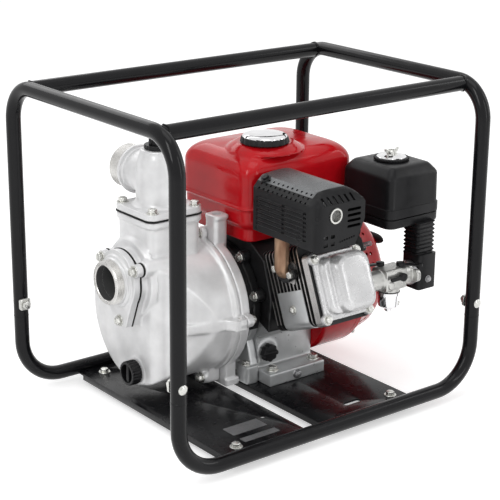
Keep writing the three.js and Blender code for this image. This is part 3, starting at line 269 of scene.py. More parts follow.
def raw_object(name, bm):
    bmesh.ops.recalc_face_normals(bm, faces=bm.faces)
    bmesh.ops.scale(bm, vec=(MM, MM, MM), verts=bm.verts)
    mesh = bpy.data.meshes.new(name)
    bm.to_mesh(mesh)
    bm.free()
    obj = bpy.data.objects.new(name, mesh)
    bpy.context.scene.collection.objects.link(obj)
    return obj


def carve(obj, cutter_bm):
    """Cut a set of closed solids out of an object."""
    cutter = raw_object("cutter", cutter_bm)
    bpy.context.view_layer.update()
    step = obj.modifiers.new("carve", "BOOLEAN")
    step.operation = "DIFFERENCE"
    step.solver = "EXACT"
    step.use_self = True
    step.object = cutter
    settle(obj)
    bpy.data.objects.remove(cutter)


def piece(name, bm, material, body="root", replaces=(), bevel=0.0, cuts=None, grain=None, smooth=32,
          rim=None):
    """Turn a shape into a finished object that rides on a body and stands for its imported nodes.

    grain is a (voxel, passes) pair in millimetres for a casting: its solids melt into one skin
    with soft fillets before the cuts are made.
    """
    obj = raw_object(name, bm)
    if grain:
        voxel, passes = grain
        melt = obj.modifiers.new("melt", "REMESH")
        melt.mode = "VOXEL"
        melt.voxel_size = voxel * MM
        soften = obj.modifiers.new("soften", "SMOOTH")
        soften.factor = 0.5
        soften.iterations = passes
        settle(obj)
    if cuts is not None:
        carve(obj, cuts)
    if bevel:
        edge = obj.modifiers.new("edge", "BEVEL")
        edge.width = bevel * MM
        edge.segments = 2
        edge.limit_method = "ANGLE"
        edge.angle_limit = math.radians(40)
        settle(obj)
    obj.data.materials.clear()
    obj.data.materials.append(material)
    for polygon in obj.data.polygons:
        polygon.use_smooth = True
    obj.data.set_sharp_from_angle(angle=math.radians(smooth))
    if rim:
        rim_material, test = rim
        obj.data.materials.append(rim_material)
        for polygon in obj.data.polygons:
            if test(polygon.center / MM, polygon.normal):
                polygon.material_index = 1
    if body:
        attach(obj, body)
    if replaces:
        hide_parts(*replaces)
    return obj


# ------------------------------------------------------------------ finishes
SHADER_SOCKETS = {
    "coat_weight": "Coat Weight",
    "coat_roughness": "Coat Roughness",
    "specular_ior_level": "Specular IOR Level",
}


def finish(name, color, metallic, roughness, **shader):
    """A Principled material; returns it with its node tree and shader."""
    material = bpy.data.materials.new(name)
    material.use_nodes = True
    tree = material.node_tree
    bsdf = tree.nodes["Principled BSDF"]
    bsdf.inputs["Base Color"].default_value = (*color, 1)
    bsdf.inputs["Metallic"].default_value = metallic
    bsdf.inputs["Roughness"].default_value = roughness
    for socket, value in shader.items():
        bsdf.inputs[SHADER_SOCKETS[socket]].default_value = value
    return material, tree, bsdf


def noise(tree, scale, detail=4.0, stretch=None):
    place = tree.nodes.new("ShaderNodeTexCoord")
    texture = tree.nodes.new("ShaderNodeTexNoise")
    texture.inputs["Scale"].default_value = scale
    texture.inputs["Detail"].default_value = detail
    source = place.outputs["Object"]
    if stretch:
        mapping = tree.nodes.new("ShaderNodeMapping")
        mapping.inputs["Scale"].default_value = stretch
        tree.links.new(source, mapping.inputs["Vector"])
        source = mapping.outputs["Vector"]
    tree.links.new(source, texture.inputs["Vector"])
    return texture.outputs["Fac"]


def spread(tree, factor, low, high):
    """Map a noise to a number between low and high."""
    scale = tree.nodes.new("ShaderNodeMapRange")
    scale.inputs["From Min"].default_value = 0.3
    scale.inputs["From Max"].default_value = 0.7
    scale.inputs["To Min"].default_value = low
    scale.inputs["To Max"].default_value = high
    tree.links.new(factor, scale.inputs["Value"])
    return scale.outputs["Result"]


def tint(tree, factor, dark, light):
    ramp = tree.nodes.new("ShaderNodeValToRGB")
    ramp.color_ramp.elements[0].position = 0.32
    ramp.color_ramp.elements[1].position = 0.68
    ramp.color_ramp.elements[0].color = (*dark, 1)
    ramp.color_ramp.elements[1].color = (*light, 1)
    tree.links.new(factor, ramp.inputs["Fac"])
    return ramp.outputs["Color"]


def bump(tree, bsdf, height, strength, distance):
    relief = tree.nodes.new("ShaderNodeBump")
    relief.inputs["Strength"].default_value = strength
    relief.inputs["Distance"].default_value = distance * MM
    tree.links.new(height, relief.inputs["Height"])
    tree.links.new(relief.outputs["Normal"], bsdf.inputs["Normal"])


def shade(color, factor):
    return tuple(min(1.0, channel * factor) for channel in color)


def enamel(name, color, roughness=0.16, coat=0.6, peel=0.1, gloss=0.5):
    """Sprayed gloss paint: faint orange peel, dust and cloudy gloss."""
    material, tree, bsdf = finish(name, color, 0.0, roughness, coat_weight=coat, coat_roughness=0.06,
                                   specular_ior_level=gloss)
    cloud = noise(tree, 26, 5)
    tree.links.new(tint(tree, cloud, shade(color, 0.9), shade(color, 1.12)), bsdf.inputs["Base Color"])
    tree.links.new(spread(tree, noise(tree, 60, 6), roughness * 0.7, roughness * 1.5),
                   bsdf.inputs["Roughness"])
    bump(tree, bsdf, noise(tree, 420, 2), peel, 0.12)
    return material


def casting(name, color, roughness=0.42, metallic=0.55, grit=0.25, scale=900):
    """Blasted or as-cast light alloy: fine grit and a cloudy tone."""
    material, tree, bsdf = finish(name, color, metallic, roughness)
    cloud = noise(tree, 34, 6)
    tree.links.new(tint(tree, cloud, shade(color, 0.88), shade(color, 1.05)), bsdf.inputs["Base Color"])
    tree.links.new(spread(tree, noise(tree, 90, 5), roughness * 0.85, roughness * 1.2),
                   bsdf.inputs["Roughness"])
    bump(tree, bsdf, noise(tree, scale, 6), grit, 0.25)
    return material


def machined(name, color, roughness=0.24, metallic=0.95, grain=(1, 1, 40)):
    """Turned or brushed metal with fine one-way lines."""
    material, tree, bsdf = finish(name, color, metallic, roughness)
    lines = noise(tree, 220, 3, stretch=grain)
    tree.links.new(tint(tree, noise(tree, 50, 4), shade(color, 0.85), color), bsdf.inputs["Base Color"])
    tree.links.new(spread(tree, lines, roughness * 0.7, roughness * 1.5), bsdf.inputs["Roughness"])
    bump(tree, bsdf, lines, 0.12, 0.08)
    return material


def moulded(name, color, roughness=0.42, texture=0.2, scale=1400, sheen=0.5):
    """Moulded plastic or rubber with a fine spark-eroded texture."""
    material, tree, bsdf = finish(name, color, 0.0, roughness, specular_ior_level=sheen)
    tree.links.new(tint(tree, noise(tree, 30, 5), shade(color, 0.8), shade(color, 1.25)),
                   bsdf.inputs["Base Color"])
    tree.links.new(spread(tree, noise(tree, 120, 4), roughness * 0.85, roughness * 1.2),
                   bsdf.inputs["Roughness"])
    bump(tree, bsdf, noise(tree, scale, 3), texture, 0.12)
    return material


def heat_tinted(name):
    """Bare exhaust steel with straw and brown heat tint in stretched blotches."""
    material, tree, bsdf = finish(name, (0.3, 0.2, 0.14), 0.85, 0.36)
    blotch = noise(tree, 45, 5, stretch=(1, 1, 0.35))
    tree.links.new(tint(tree, blotch, (0.15, 0.075, 0.045), (0.46, 0.30, 0.20)), bsdf.inputs["Base Color"])
    tree.links.new(spread(tree, noise(tree, 160, 5), 0.28, 0.55), bsdf.inputs["Roughness"])
    bump(tree, bsdf, noise(tree, 500, 4), 0.15, 0.1)
    return material


def foam(name, color):
    """Open-cell foam."""
    material, tree, bsdf = finish(name, color, 0.0, 0.95)
    cells = tree.nodes.new("ShaderNodeTexVoronoi")
    cells.inputs["Scale"].default_value = 700
    place = tree.nodes.new("ShaderNodeTexCoord")
    tree.links.new(place.outputs["Object"], cells.inputs["Vector"])
    tree.links.new(tint(tree, cells.outputs["Distance"], shade(color, 0.3), shade(color, 1.6)),
                   bsdf.inputs["Base Color"])
    bump(tree, bsdf, cells.outputs["Distance"], 0.6, 0.6)
    return material


class Finishes:
    """Every finish on the pump, made once from the user's colours."""

    def __init__(self, colors):
        self.frame_black = enamel("frame black enamel", colors.frame_color, 0.15, 0.0, 0.06, 0.2)
        self.base_black = enamel("base plate black enamel", colors.frame_color, 0.22, 0.0, 0.05, 0.2)
        self.red = enamel("bodywork red enamel", colors.body_color, 0.14, 0.1, 0.05, 0.2)
        self.pump_alloy = casting("blasted pump alloy", colors.pump_color, 0.36, 0.30, 0.22)
        self.engine_alloy = casting("as-cast engine alloy", (0.54, 0.55, 0.555), 0.32, 0.55, 0.4, 700)
        self.bright_alloy = casting("bright valve cover alloy", (0.68, 0.68, 0.685), 0.26, 0.45, 0.08, 600)
        # Dark grey painted shade on the walls of the suction bore.
        self.bore = casting("port bore painted shade", (0.085, 0.085, 0.085), 0.6, 0.0, 0.3, 600)
        # Black paint of the engine cover, exhaust flange and control plate; also painted shade on the top of
        # the crankcase.
        self.black_cover_and_shade = casting("black engine cover and painted shade", (0.012, 0.012, 0.013), 0.34, 0.2, 0.4, 600)
        self.fin_black = casting("black cylinder iron", (0.010, 0.010, 0.011), 0.5, 0.3, 0.5, 700)
        self.fin_edge = machined("machined fin edge", (0.62, 0.60, 0.59), 0.3, 0.95)
        self.zinc = machined("zinc plated fastener", (0.66, 0.66, 0.63), 0.25, 0.95, (1, 1, 1))
        self.chrome = machined("bright chrome", (0.86, 0.86, 0.87), 0.05, 1.0, (1, 1, 1))
        self.steel = machined("machined steel", (0.42, 0.42, 0.43), 0.3, 0.95)
        self.thread = machined("cut thread alloy", (0.70, 0.69, 0.67), 0.28, 0.8, (40, 1, 1))
        self.exhaust = heat_tinted("heat tinted exhaust")
        self.shield = enamel("satin heat black", (0.010, 0.010, 0.011), 0.32, 0.0, 0.3, 0.2)
        self.shield_top = machined("brushed shield crown", (0.15, 0.155, 0.16), 0.30, 0.5, (1, 14, 1))
        self.plastic = moulded("black moulding", (0.008, 0.008, 0.009), 0.34, sheen=0.22)
        self.satin_plastic = moulded("grained black moulding", (0.012, 0.012, 0.013), 0.5, 0.35, sheen=0.22)
        self.rubber = moulded("moulded rubber", (0.012, 0.012, 0.012), 0.75, 0.3, 900, 0.3)
        self.flap = moulded("valve rubber", (0.05, 0.05, 0.052), 0.8, 0.25, 900, 0.2)
        self.foam = foam("filter foam", (0.10, 0.10, 0.10))
        self.carb_alloy = casting("die-cast carburettor alloy", (0.58, 0.58, 0.56), 0.3, 0.8, 0.25, 1200)
        self.switch_red = moulded("red switch moulding", (0.45, 0.012, 0.012), 0.35)
        self.rope = moulded("starter rope", (0.02, 0.02, 0.02), 0.9, 0.8, 500)
        self.plate = machined("blank rating plate", (0.17, 0.17, 0.175), 0.34, 0.3, (1, 14, 1))


MADE = {}


def finishes():
    return MADE["finishes"]


# ------------------------------------------------------------------ settings a user may change
class FIREPUMP_PG_colors(bpy.types.PropertyGroup):
    """Colours of the main painted and cast parts."""
    frame_color: bpy.props.FloatVectorProperty(
        name="Frame", description="Enamel on the tube frame and base plates", subtype="COLOR",
        size=3, min=0, max=1, default=(0.006, 0.006, 0.007))
    body_color: bpy.props.FloatVectorProperty(
        name="Bodywork", description="Paint on the fuel tank, fan housing and starter cover", subtype="COLOR",
        size=3, min=0, max=1, default=(0.50, 0.005, 0.010))
    pump_color: bpy.props.FloatVectorProperty(
        name="Pump casting", description="Tone of the blasted alloy pump castings", subtype="COLOR",
        size=3, min=0, max=1, default=(0.80, 0.80, 0.805))


class FIREPUMP_PG_sizes(bpy.types.PropertyGroup):
    """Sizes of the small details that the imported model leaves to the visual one."""
    bolt_size: bpy.props.FloatProperty(
        name="Bolt head", description="Corner radius of the casing bolts' heads, in mm",
        min=4, max=8, default=6.2)
    fin_pitch: bpy.props.FloatProperty(
        name="Fin pitch", description="Distance between cylinder fins, in mm", min=6, max=12, default=7.6)
    thread_pitch: bpy.props.FloatProperty(
        name="Thread pitch", description="Pitch of the hose port threads, in mm", min=1.5, max=3.5,
        default=2.3)
    louvre_count: bpy.props.IntProperty(
        name="Louvres", description="Ribs on the side of the muffler shield", min=4, max=12, default=7)
    floor_reach: bpy.props.FloatProperty(
        name="Floor reach", description="Half length of the floor", subtype="DISTANCE", min=1, max=20,
        default=8)


# ------------------------------------------------------------------ stage
def seen_directly(tree):
    """One where the ray comes from the camera, a reflection or a transmission, and nought for other light."""
    path = tree.nodes.new("ShaderNodeLightPath")
    total = path.outputs["Is Camera Ray"]
    for kind in ("Is Glossy Ray", "Is Transmission Ray"):
        either = tree.nodes.new("ShaderNodeMath")
        either.operation = "MAXIMUM"
        tree.links.new(total, either.inputs[0])
        tree.links.new(path.outputs[kind], either.inputs[1])
        total = either.outputs[0]
    return total


class FIREPUMP_OT_stage(bpy.types.Operator):
    """Lay the pale floor, light it softly and place the camera"""
    bl_idname = "fire_pump.stage"
    bl_label = "Stage, lights and camera"

    def execute(self, context):
        scene = context.scene
        reach = scene.fire_pump_sizes.floor_reach
        mesh = bpy.data.meshes.new("floor")
        mesh.from_pydata([(-reach, -reach, 0), (reach, -reach, 0), (reach, reach, 0), (-reach, reach, 0)],
                         [], [(0, 1, 2, 3)])
        floor = bpy.data.objects.new("floor", mesh)
        scene.collection.objects.link(floor)
        material, tree, bsdf = finish("floor paper", (0.86, 0.86, 0.86), 0.0, 0.9, specular_ior_level=0.0)
        lift = tree.nodes.new("ShaderNodeMath")
        lift.operation = "MULTIPLY"
        lift.inputs[1].default_value = FLOOR_LIFT
        tree.links.new(seen_directly(tree), lift.inputs[0])
        bsdf.inputs["Emission Color"].default_value = (1, 1, 1, 1)
        tree.links.new(lift.outputs[0], bsdf.inputs["Emission Strength"])
        mesh.materials.append(material)

        world = bpy.data.worlds.new("studio")
        scene.world = world
        world.use_nodes = True
        tree = world.node_tree
        back = tree.nodes["Background"]
        back.inputs["Color"].default_value = (1, 1, 1, 1)
        level = tree.nodes.new("ShaderNodeMapRange")
        level.inputs["To Min"].default_value = AMBIENT
        level.inputs["To Max"].default_value = 1.0
        tree.links.new(seen_directly(tree), level.inputs["Value"])
        tree.links.new(level.outputs["Result"], back.inputs["Strength"])

        aim = Vector((0, 0, 0.2))
        for name, place, size, power in LAMPS:
            lamp = bpy.data.lights.new(name, "AREA")
            lamp.shape = "RECTANGLE"
            lamp.size, lamp.size_y = size
            lamp.energy = power
            obj = bpy.data.objects.new(name, lamp)
            obj.location = place
            obj.rotation_euler = (aim - Vector(place)).to_track_quat("-Z", "Y").to_euler()
            scene.collection.objects.link(obj)

        lens = bpy.data.cameras.new("camera")
        lens.lens = 107.72
        lens.sensor_width = 36
        camera = bpy.data.objects.new("camera", lens)
        right = Vector((0.78642, -0.61763, 0.00885))
        up = Vector((0.18476, 0.24888, 0.95075))
        back_axis = -Vector((0.58941, 0.74605, -0.30984))
        turn = Matrix((right, up, back_axis)).transposed()
        camera.matrix_world = Matrix.Translation((-1.18692, -1.50671, 0.83536)) @ turn.to_4x4()
        scene.collection.objects.link(camera)
        scene.camera = camera
        scene.view_settings.view_transform = "Standard"
        return {"FINISHED"}


AMBIENT = 0.6
FLOOR_LIFT = 0.5
LAMPS = (
    ("key", (-1.9, -0.7, 1.7), (0.5, 1.7), 15),
    ("front strip", (0.55, -2.3, 1.0), (0.28, 1.9), 7),
    ("fill", (2.1, -1.2, 1.2), (0.35, 1.8), 6),
    ("back", (0.2, 2.0, 1.7), (2.0, 0.8), 9),
    ("top", (0.1, -0.2, 2.4), (1.2, 1.2), 6),
)


# ------------------------------------------------------------------ frame and base
def hoop_corners(x):
    return [(x, -POST_Y, JOINT_Z + 0.6), (x, -POST_Y, HOOP_TOP_Z), (x, POST_Y, HOOP_TOP_Z),
            (x, POST_Y, JOINT_Z + 0.6)]


def lower_corners(y):
    return [(-POST_X, y, JOINT_Z), (-POST_X, y, RAIL_Z), (POST_X, y, RAIL_Z), (POST_X, y, JOINT_Z)]


class FIREPUMP_OT_frame(bpy.types.Operator):
    """Bend the four frame tubes, run the top rails into the hoops and run the welds"""
    bl_idname = "fire_pump.frame"
    bl_label = "Tube frame"

    def execute(self, context):
        coat = finishes().frame_black
        for side, y in (("front", -POST_Y), ("rear", POST_Y)):
            bm = bmesh.new()
            sweep(bm, bent(lower_corners(y), LOWER_BEND), TUBE_R)
            for x in (-POST_X, POST_X):
                rod(bm, (x, y, JOINT_Z - 1), (x, y, JOINT_Z + 30), TUBE_R - 2)
            piece(f"lower_tube_{side}", bm, coat, replaces=(f"lower_frame_{side}",))
        for side, x in (("left", -POST_X), ("right", POST_X)):
            bm = bmesh.new()
            sweep(bm, bent(hoop_corners(x), UPPER_BEND), TUBE_R)
            for y in (-POST_Y, POST_Y):
                lathe(bm, [(TUBE_R - 1.7, 0), (TUBE_R + 0.25, 0), (TUBE_R + 0.25, 1.2), (TUBE_R - 0.3, 1.8)],
                      (x, y, JOINT_Z + 0.3), (0, 0, 1))
            piece(f"hoop_tube_{side}", bm, coat, replaces=(f"upper_hoop_{side}",))
        for side in ("front", "rear"):
            low, high = span(f"top_rail_{side}")
            y = (low.y + high.y) / 2
            z = high.z - TUBE_R
            bm = bmesh.new()
            rod(bm, (-POST_X + 3, y, z), (POST_X - 3, y, z), TUBE_R)
            for end in (-1, 1):
                bead = [(end * (POST_X - 9.2 + 2.6 * math.cos(2 * t) ** 2), y + (TUBE_R + 0.2) * math.cos(t),
                         z + (TUBE_R + 0.2) * math.sin(t)) for t in [math.tau * k / 40 for k in range(41)]]
                sweep(bm, bead, 1.3, 10)
            piece(f"top_tube_{side}", bm, coat, replaces=(f"top_rail_{side}",))
        return {"FINISHED"}


class FIREPUMP_OT_frame_bolts(bpy.types.Operator):
    """Fit the four post bolts with their saddle washers and outer domes"""
    bl_idname = "fire_pump.frame_bolts"
    bl_label = "Frame bolts"

    def execute(self, context):
        zinc = finishes().zinc
        for end, x in (("left", -POST_X), ("right", POST_X)):
            for side, sign in (("front", -1), ("rear", 1)):
                node = f"frame_bolt_{side}_{end}"
                z = middle(node).z
                inner = sign * (POST_Y - TUBE_R)
                bm = bmesh.new()
                block(bm, (x - 8, x + 8), sorted((inner - sign * 2.4, inner + sign * 1.5)), (z - 8, z + 8),
                      3, "y")
                hex_bolt(bm, (x, inner - sign * 2.4, z), (0, -sign, 0), 6.2, 4.6, 7.4)
                piece(f"post_bolt_{side}_{end}", bm, zinc, replaces=(node,), bevel=0.4)
                bm = bmesh.new()
                outer = sign * (POST_Y + TUBE_R - 1.2)
                lathe(bm, [(6.4, 0), (6.4, 0.8), (5.2, 2.0), (3.0, 2.9), (0.8, 3.2)], (x, outer, z),
                      (0, sign, 0), 32)
                piece(f"post_bolt_dome_{side}_{end}", bm, zinc)
        return {"FINISHED"}


class FIREPUMP_OT_base(bpy.types.Operator):
    """Press the two base plates and fit feet, feet screws and blank rating plates"""
    bl_idname = "fire_pump.base"
    bl_label = "Base plates and feet"

    def execute(self, context):
        made = finishes()
        for node in ("pump_base_plate", "engine_base_plate"):
            low, high = span(node)
            bm = bmesh.new()
            block(bm, (low.x, high.x), (low.y, high.y), (high.z - 3, high.z))
            for x in (low.x, high.x - 3):
                block(bm, (x, x + 3), (low.y + 10, high.y - 10), (low.z, high.z - 1))
            slots = bmesh.new()
            if node == "engine_base_plate":
                for y in (-140, 120):
                    block(slots, (60, 88), (y, y + 8), (high.z - 8, high.z + 4), 3.9)
            else:
                for y in (-100, 130):
                    rod(slots, (-52, y, high.z - 8), (-52, y, high.z + 4), 4)
            piece(node + "_pressed", bm, made.base_black, replaces=(node,), cuts=slots,
                  bevel=0.7)
        for node in ("foot_pump_front", "foot_pump_rear", "foot_engine_front", "foot_engine_rear"):
            low, high = span(node)
            x, y = (low.x + high.x) / 2, (low.y + high.y) / 2
            radius = (high.x - low.x) / 2
            bm = bmesh.new()
            lathe(bm, [(radius - 5, 0), (radius - 3.4, 0.8), (radius - 2.2, 3), (radius - 0.4, 9),
                       (radius, high.z - 1.5),
                       (radius - 1.2, high.z)], (x, y, 0), (0, 0, 1), 56)
            piece(node + "_moulded", bm, made.rubber, replaces=(node,))
            bm = bmesh.new()
            hex_bolt(bm, (x, y, PLATE_TOP), (0, 0, 1), 6, 4.5, 8.5)
            piece(node + "_screw", bm, made.zinc, bevel=0.3)
        bm = bmesh.new()
        block(bm, (-119, -64), (-125, -101), (PLATE_TOP, PLATE_TOP + 0.6), 1.5)
        block(bm, (-119, -62), (-149, -137), (PLATE_TOP, PLATE_TOP + 0.6), 1)
        piece("rating_plates", bm, made.plate, bevel=0.15)
        return {"FINISHED"}


# ------------------------------------------------------------------ pump
CASING_FRONT = -142.0
RING_X = -32.3
CASING_R = 95.0
CASING_WALL = 7.0
SUCTION_Z = 181.5
SUCTION_PADS = ((-42, 24), (36, 24), (-6, -54))
EAR_ANGLES = (98, 42, 180, 0, 246, 294)
OUTLET_X = -97.0
NECK_TOP = span("pump_casing")[1].z


def on_shaft(radius, degrees):
    angle = math.radians(degrees)
    return SHAFT_Y + radius * math.cos(angle), SHAFT_Z + radius * math.sin(angle)


def pear(bm, low, high, grow=0.0):
    """The three-lobed outline of the suction flange, as overlapping solids."""
    sides = 48
    for dy, dz in SUCTION_PADS:
        rod(bm, (low, SHAFT_Y + dy, SUCTION_Z + dz), (high, SHAFT_Y + dy, SUCTION_Z + dz), 9 + grow, sides)
    rod(bm, (low, SHAFT_Y, SUCTION_Z), (high, SHAFT_Y, SUCTION_Z), 42 + grow, 72)
    web = [(-41, -8), (-20, -54 - 7 - grow), (4, -54 - 8 - grow), (40, -12), (38 + grow, 24),
           (-42, 24 + grow)]
    prism(bm, [(SHAFT_Y + a, SUCTION_Z + b) for a, b in web], low, high, "x")


def casing_stations(count=26):
    """How far the casing's near side reaches at each depth, as (x, y) pairs."""
    runs = (((CASING_FRONT, 29), (CASING_FRONT, 18), (-128, 11)), ((-128, 11), (-92, -29), (-31, -31)))
    pairs = []
    for a, b, c in runs:
        for k in range(count):
            t = k / count
            pairs.append(tuple((1 - t) ** 2 * p + 2 * t * (1 - t) * q + t * t * r for p, q,
                               r in zip(a, b, c)))
    return [pair for pair in pairs if pair[0] < RING_X] + [(RING_X, -31)]


def in_shaded_suction_bore(center, normal):
    """Whether a face belongs to the wall of the suction bore, which is painted dark grey as painted shade."""
    reach = math.hypot(center.y - SHAFT_Y, center.z - SUCTION_Z)
    return reach < 24.5 and abs(normal.x) < 0.5


class FIREPUMP_OT_pump_casing(bpy.types.Operator):
    """Cast the pump casing with its neck, ring, ribs and bosses"""
    bl_idname = "fire_pump.casing"
    bl_label = "Pump casing"

    def execute(self, context):
        made = finishes()
        bm = bmesh.new()
        rings = []
        for x, near in casing_stations():
            ring = []
            for k in range(112):
                angle = math.tau * k / 112
                y = SHAFT_Y + CASING_R * math.cos(angle)
                ring.append((x, max(y, near), SHAFT_Z + CASING_R * math.sin(angle)))
            rings.append(ring)
        loft(bm, rings)
        rod(bm, (RING_X - 9, SHAFT_Y, SHAFT_Z), (RING_X, SHAFT_Y, SHAFT_Z), 98, 112)
        for angle in EAR_ANGLES:
            y, z = on_shaft(104, angle)
            rod(bm, (RING_X - 9, y, z), (RING_X, y, z), 9, 40)
            inner = on_shaft(90, angle)
            rod(bm, (RING_X - 22, *inner), (RING_X, *on_shaft(98, angle)), 6, 32)
        half = 41
        block(bm, (OUTLET_X - half, OUTLET_X + half), (SHAFT_Y - half, SHAFT_Y + half), (160, NECK_TOP), 10)
        block(bm, (OUTLET_X - 44, OUTLET_X + 44), (SHAFT_Y - 44, SHAFT_Y + 44), (NECK_TOP - 9, NECK_TOP), 12)
        pear(bm, -154, CASING_FRONT + 6)
        rod(bm, (CASING_FRONT - 3.5, SHAFT_Y, SUCTION_Z), (CASING_FRONT + 4, SHAFT_Y, SUCTION_Z), 52, 90, 57)
        near_y, near_z = SHAFT_Y + SUCTION_PADS[0][0], SUCTION_Z + SUCTION_PADS[0][1]
        rod(bm, (-154, near_y, near_z), (-96, near_y, near_z), 11.5, 40)
        rib = [(-112, 10), (-112, SHAFT_Y - 84), (RING_X - 26, SHAFT_Y - 98), (RING_X - 18, SHAFT_Y - 112),
               (RING_X, SHAFT_Y - 112), (RING_X, 10)]
        prism(bm, rib, SHAFT_Z - 9, SHAFT_Z + 6)
        drain = middle("drain_plug")
        rod(bm, (CASING_FRONT - 1, drain.y, drain.z), (CASING_FRONT + 20, drain.y, drain.z), 20, 56)
        for angle in (246, 294):
            rod(bm, (-58, *on_shaft(104, angle)), (RING_X, *on_shaft(104, angle)), 8.6, 40)
            block(bm, (-52, RING_X), (on_shaft(100, angle)[0] - 10, on_shaft(100, angle)[0] + 10), (22, 50),
                  3, "x")
        hollow = bmesh.new()
        rod(hollow, (-158, SHAFT_Y, SUCTION_Z), (CASING_FRONT + CASING_WALL + 2, SHAFT_Y, SUCTION_Z), 23.5,
            72)
        rings = []
        for x, near in casing_stations():
            x = min(max(x, CASING_FRONT + CASING_WALL), RING_X + 1)
            if rings and x <= rings[-1][0][0] + 0.01:
                continue
            inside = CASING_R - CASING_WALL
            rings.append([(x, max(SHAFT_Y + inside * math.cos(math.tau * k / 96), near + CASING_WALL),
                           SHAFT_Z + inside * math.sin(math.tau * k / 96)) for k in range(96)])
        rings.append([(RING_X + 2, y, z) for x, y, z in rings[-1]])
        loft(hollow, rings)
        # The bore wall of the casing takes the dark grey painted shade.
        piece("casing_casting", bm, made.pump_alloy, replaces=("pump_casing",),
              grain=(1.5, 5), cuts=hollow, smooth=50, rim=(made.bore, in_shaded_suction_bore))
        bm = bmesh.new()
        reach = context.scene.fire_pump_sizes.bolt_size
        for angle in EAR_ANGLES:
            y, z = on_shaft(104, angle)
            foot = -58 if angle > 240 else RING_X - 9
            hex_bolt(bm, (foot, y, z), (-1, 0, 0), reach, 5.5, 8)
        piece("casing_bolts", bm, made.zinc, bevel=0.3)
        return {"FINISHED"}


class FIREPUMP_OT_back_plate(bpy.types.Operator):
    """Cast the back plate with its lifting bracket, ears and feet"""
    bl_idname = "fire_pump.back_plate"
    bl_label = "Pump back plate"

    def execute(self, context):
        made = finishes()
        x0 = span("pump_back_plate")[0].x
        x1 = x0 + 15
        top = span("pump_back_plate")[1].z
        bm = bmesh.new()
        rod(bm, (x0, SHAFT_Y, SHAFT_Z), (x1, SHAFT_Y, SHAFT_Z), 98, 112)
        rod(bm, (x1 - 1, SHAFT_Y, SHAFT_Z), (1.8, SHAFT_Y, SHAFT_Z), 62, 80, 54)
        for angle in EAR_ANGLES:
            rod(bm, (x0, *on_shaft(104, angle)), (x1 - 3, *on_shaft(104, angle)), 9, 40)
        bracket_y = SHAFT_Y - 26
        block(bm, (x0, x1 + 8), (bracket_y - 12, bracket_y + 12), (SHAFT_Z + 72, top), 6)
        block(bm, (x0 - 0, x1 + 10), (bracket_y - 14, bracket_y + 14), (top - 5, top), 7)
        for side in (-1, 1):
            y = SHAFT_Y + side * 50
            block(bm, (x0, x1 + 5), (y - 12, y + 12), (PLATE_TOP + 0.3, SHAFT_Z - 60), 3)
            block(bm, (x0, x1 + 9), (y - 15, y + 15), (PLATE_TOP + 0.3, PLATE_TOP + 10), 4)
        for angle in range(0, 360, 45):
            y0, z0 = on_shaft(56, angle + 20)
            y1, z1 = on_shaft(94, angle + 20)
            sweep(bm, [(x1 + 1, y0, z0), (x1 - 1, y1, z1)], 3.2, 12)
        hole = bmesh.new()
        rod(hole, ((x0 + x1) / 2 + 4, bracket_y, top - 12), ((x0 + x1) / 2 + 4, bracket_y, top + 2), 6.5, 40)
        piece("back_plate_casting", bm, made.pump_alloy, replaces=("pump_back_plate",),
              grain=(1.5, 4), cuts=hole, smooth=50)
        bm = bmesh.new()
        for side in (-1, 1):
            hex_bolt(bm, (x1 + 4, SHAFT_Y + side * 50 - 9 * side, PLATE_TOP + 10), (0, 0, 1), 5, 4, 6.5)
        for angle in EAR_ANGLES:
            hex_bolt(bm, (x1 - 3, *on_shaft(104, angle)), (1, 0, 0), 5.6, 4.5, 7.5)
        piece("back_plate_nuts", bm, made.zinc, bevel=0.3)
        return {"FINISHED"}


def thread_profile(length, outside, pitch, wall):
    """A saw of crests and roots, then the inside of the spigot."""
    profile = [(outside - 1.4, 0.0)]
    at = 0.8
    while at + pitch < length:
        profile += [(outside, at + pitch * 0.25), (outside, at + pitch * 0.4),
                    (outside - 1.1, at + pitch * 0.7),
                    (outside - 1.1, at + pitch * 0.9)]
        at += pitch
    profile += [(outside - 1.1, length), (outside - wall, length), (outside - wall, 1.0),
                (outside - wall + 0.8, 0.0)]
    return profile


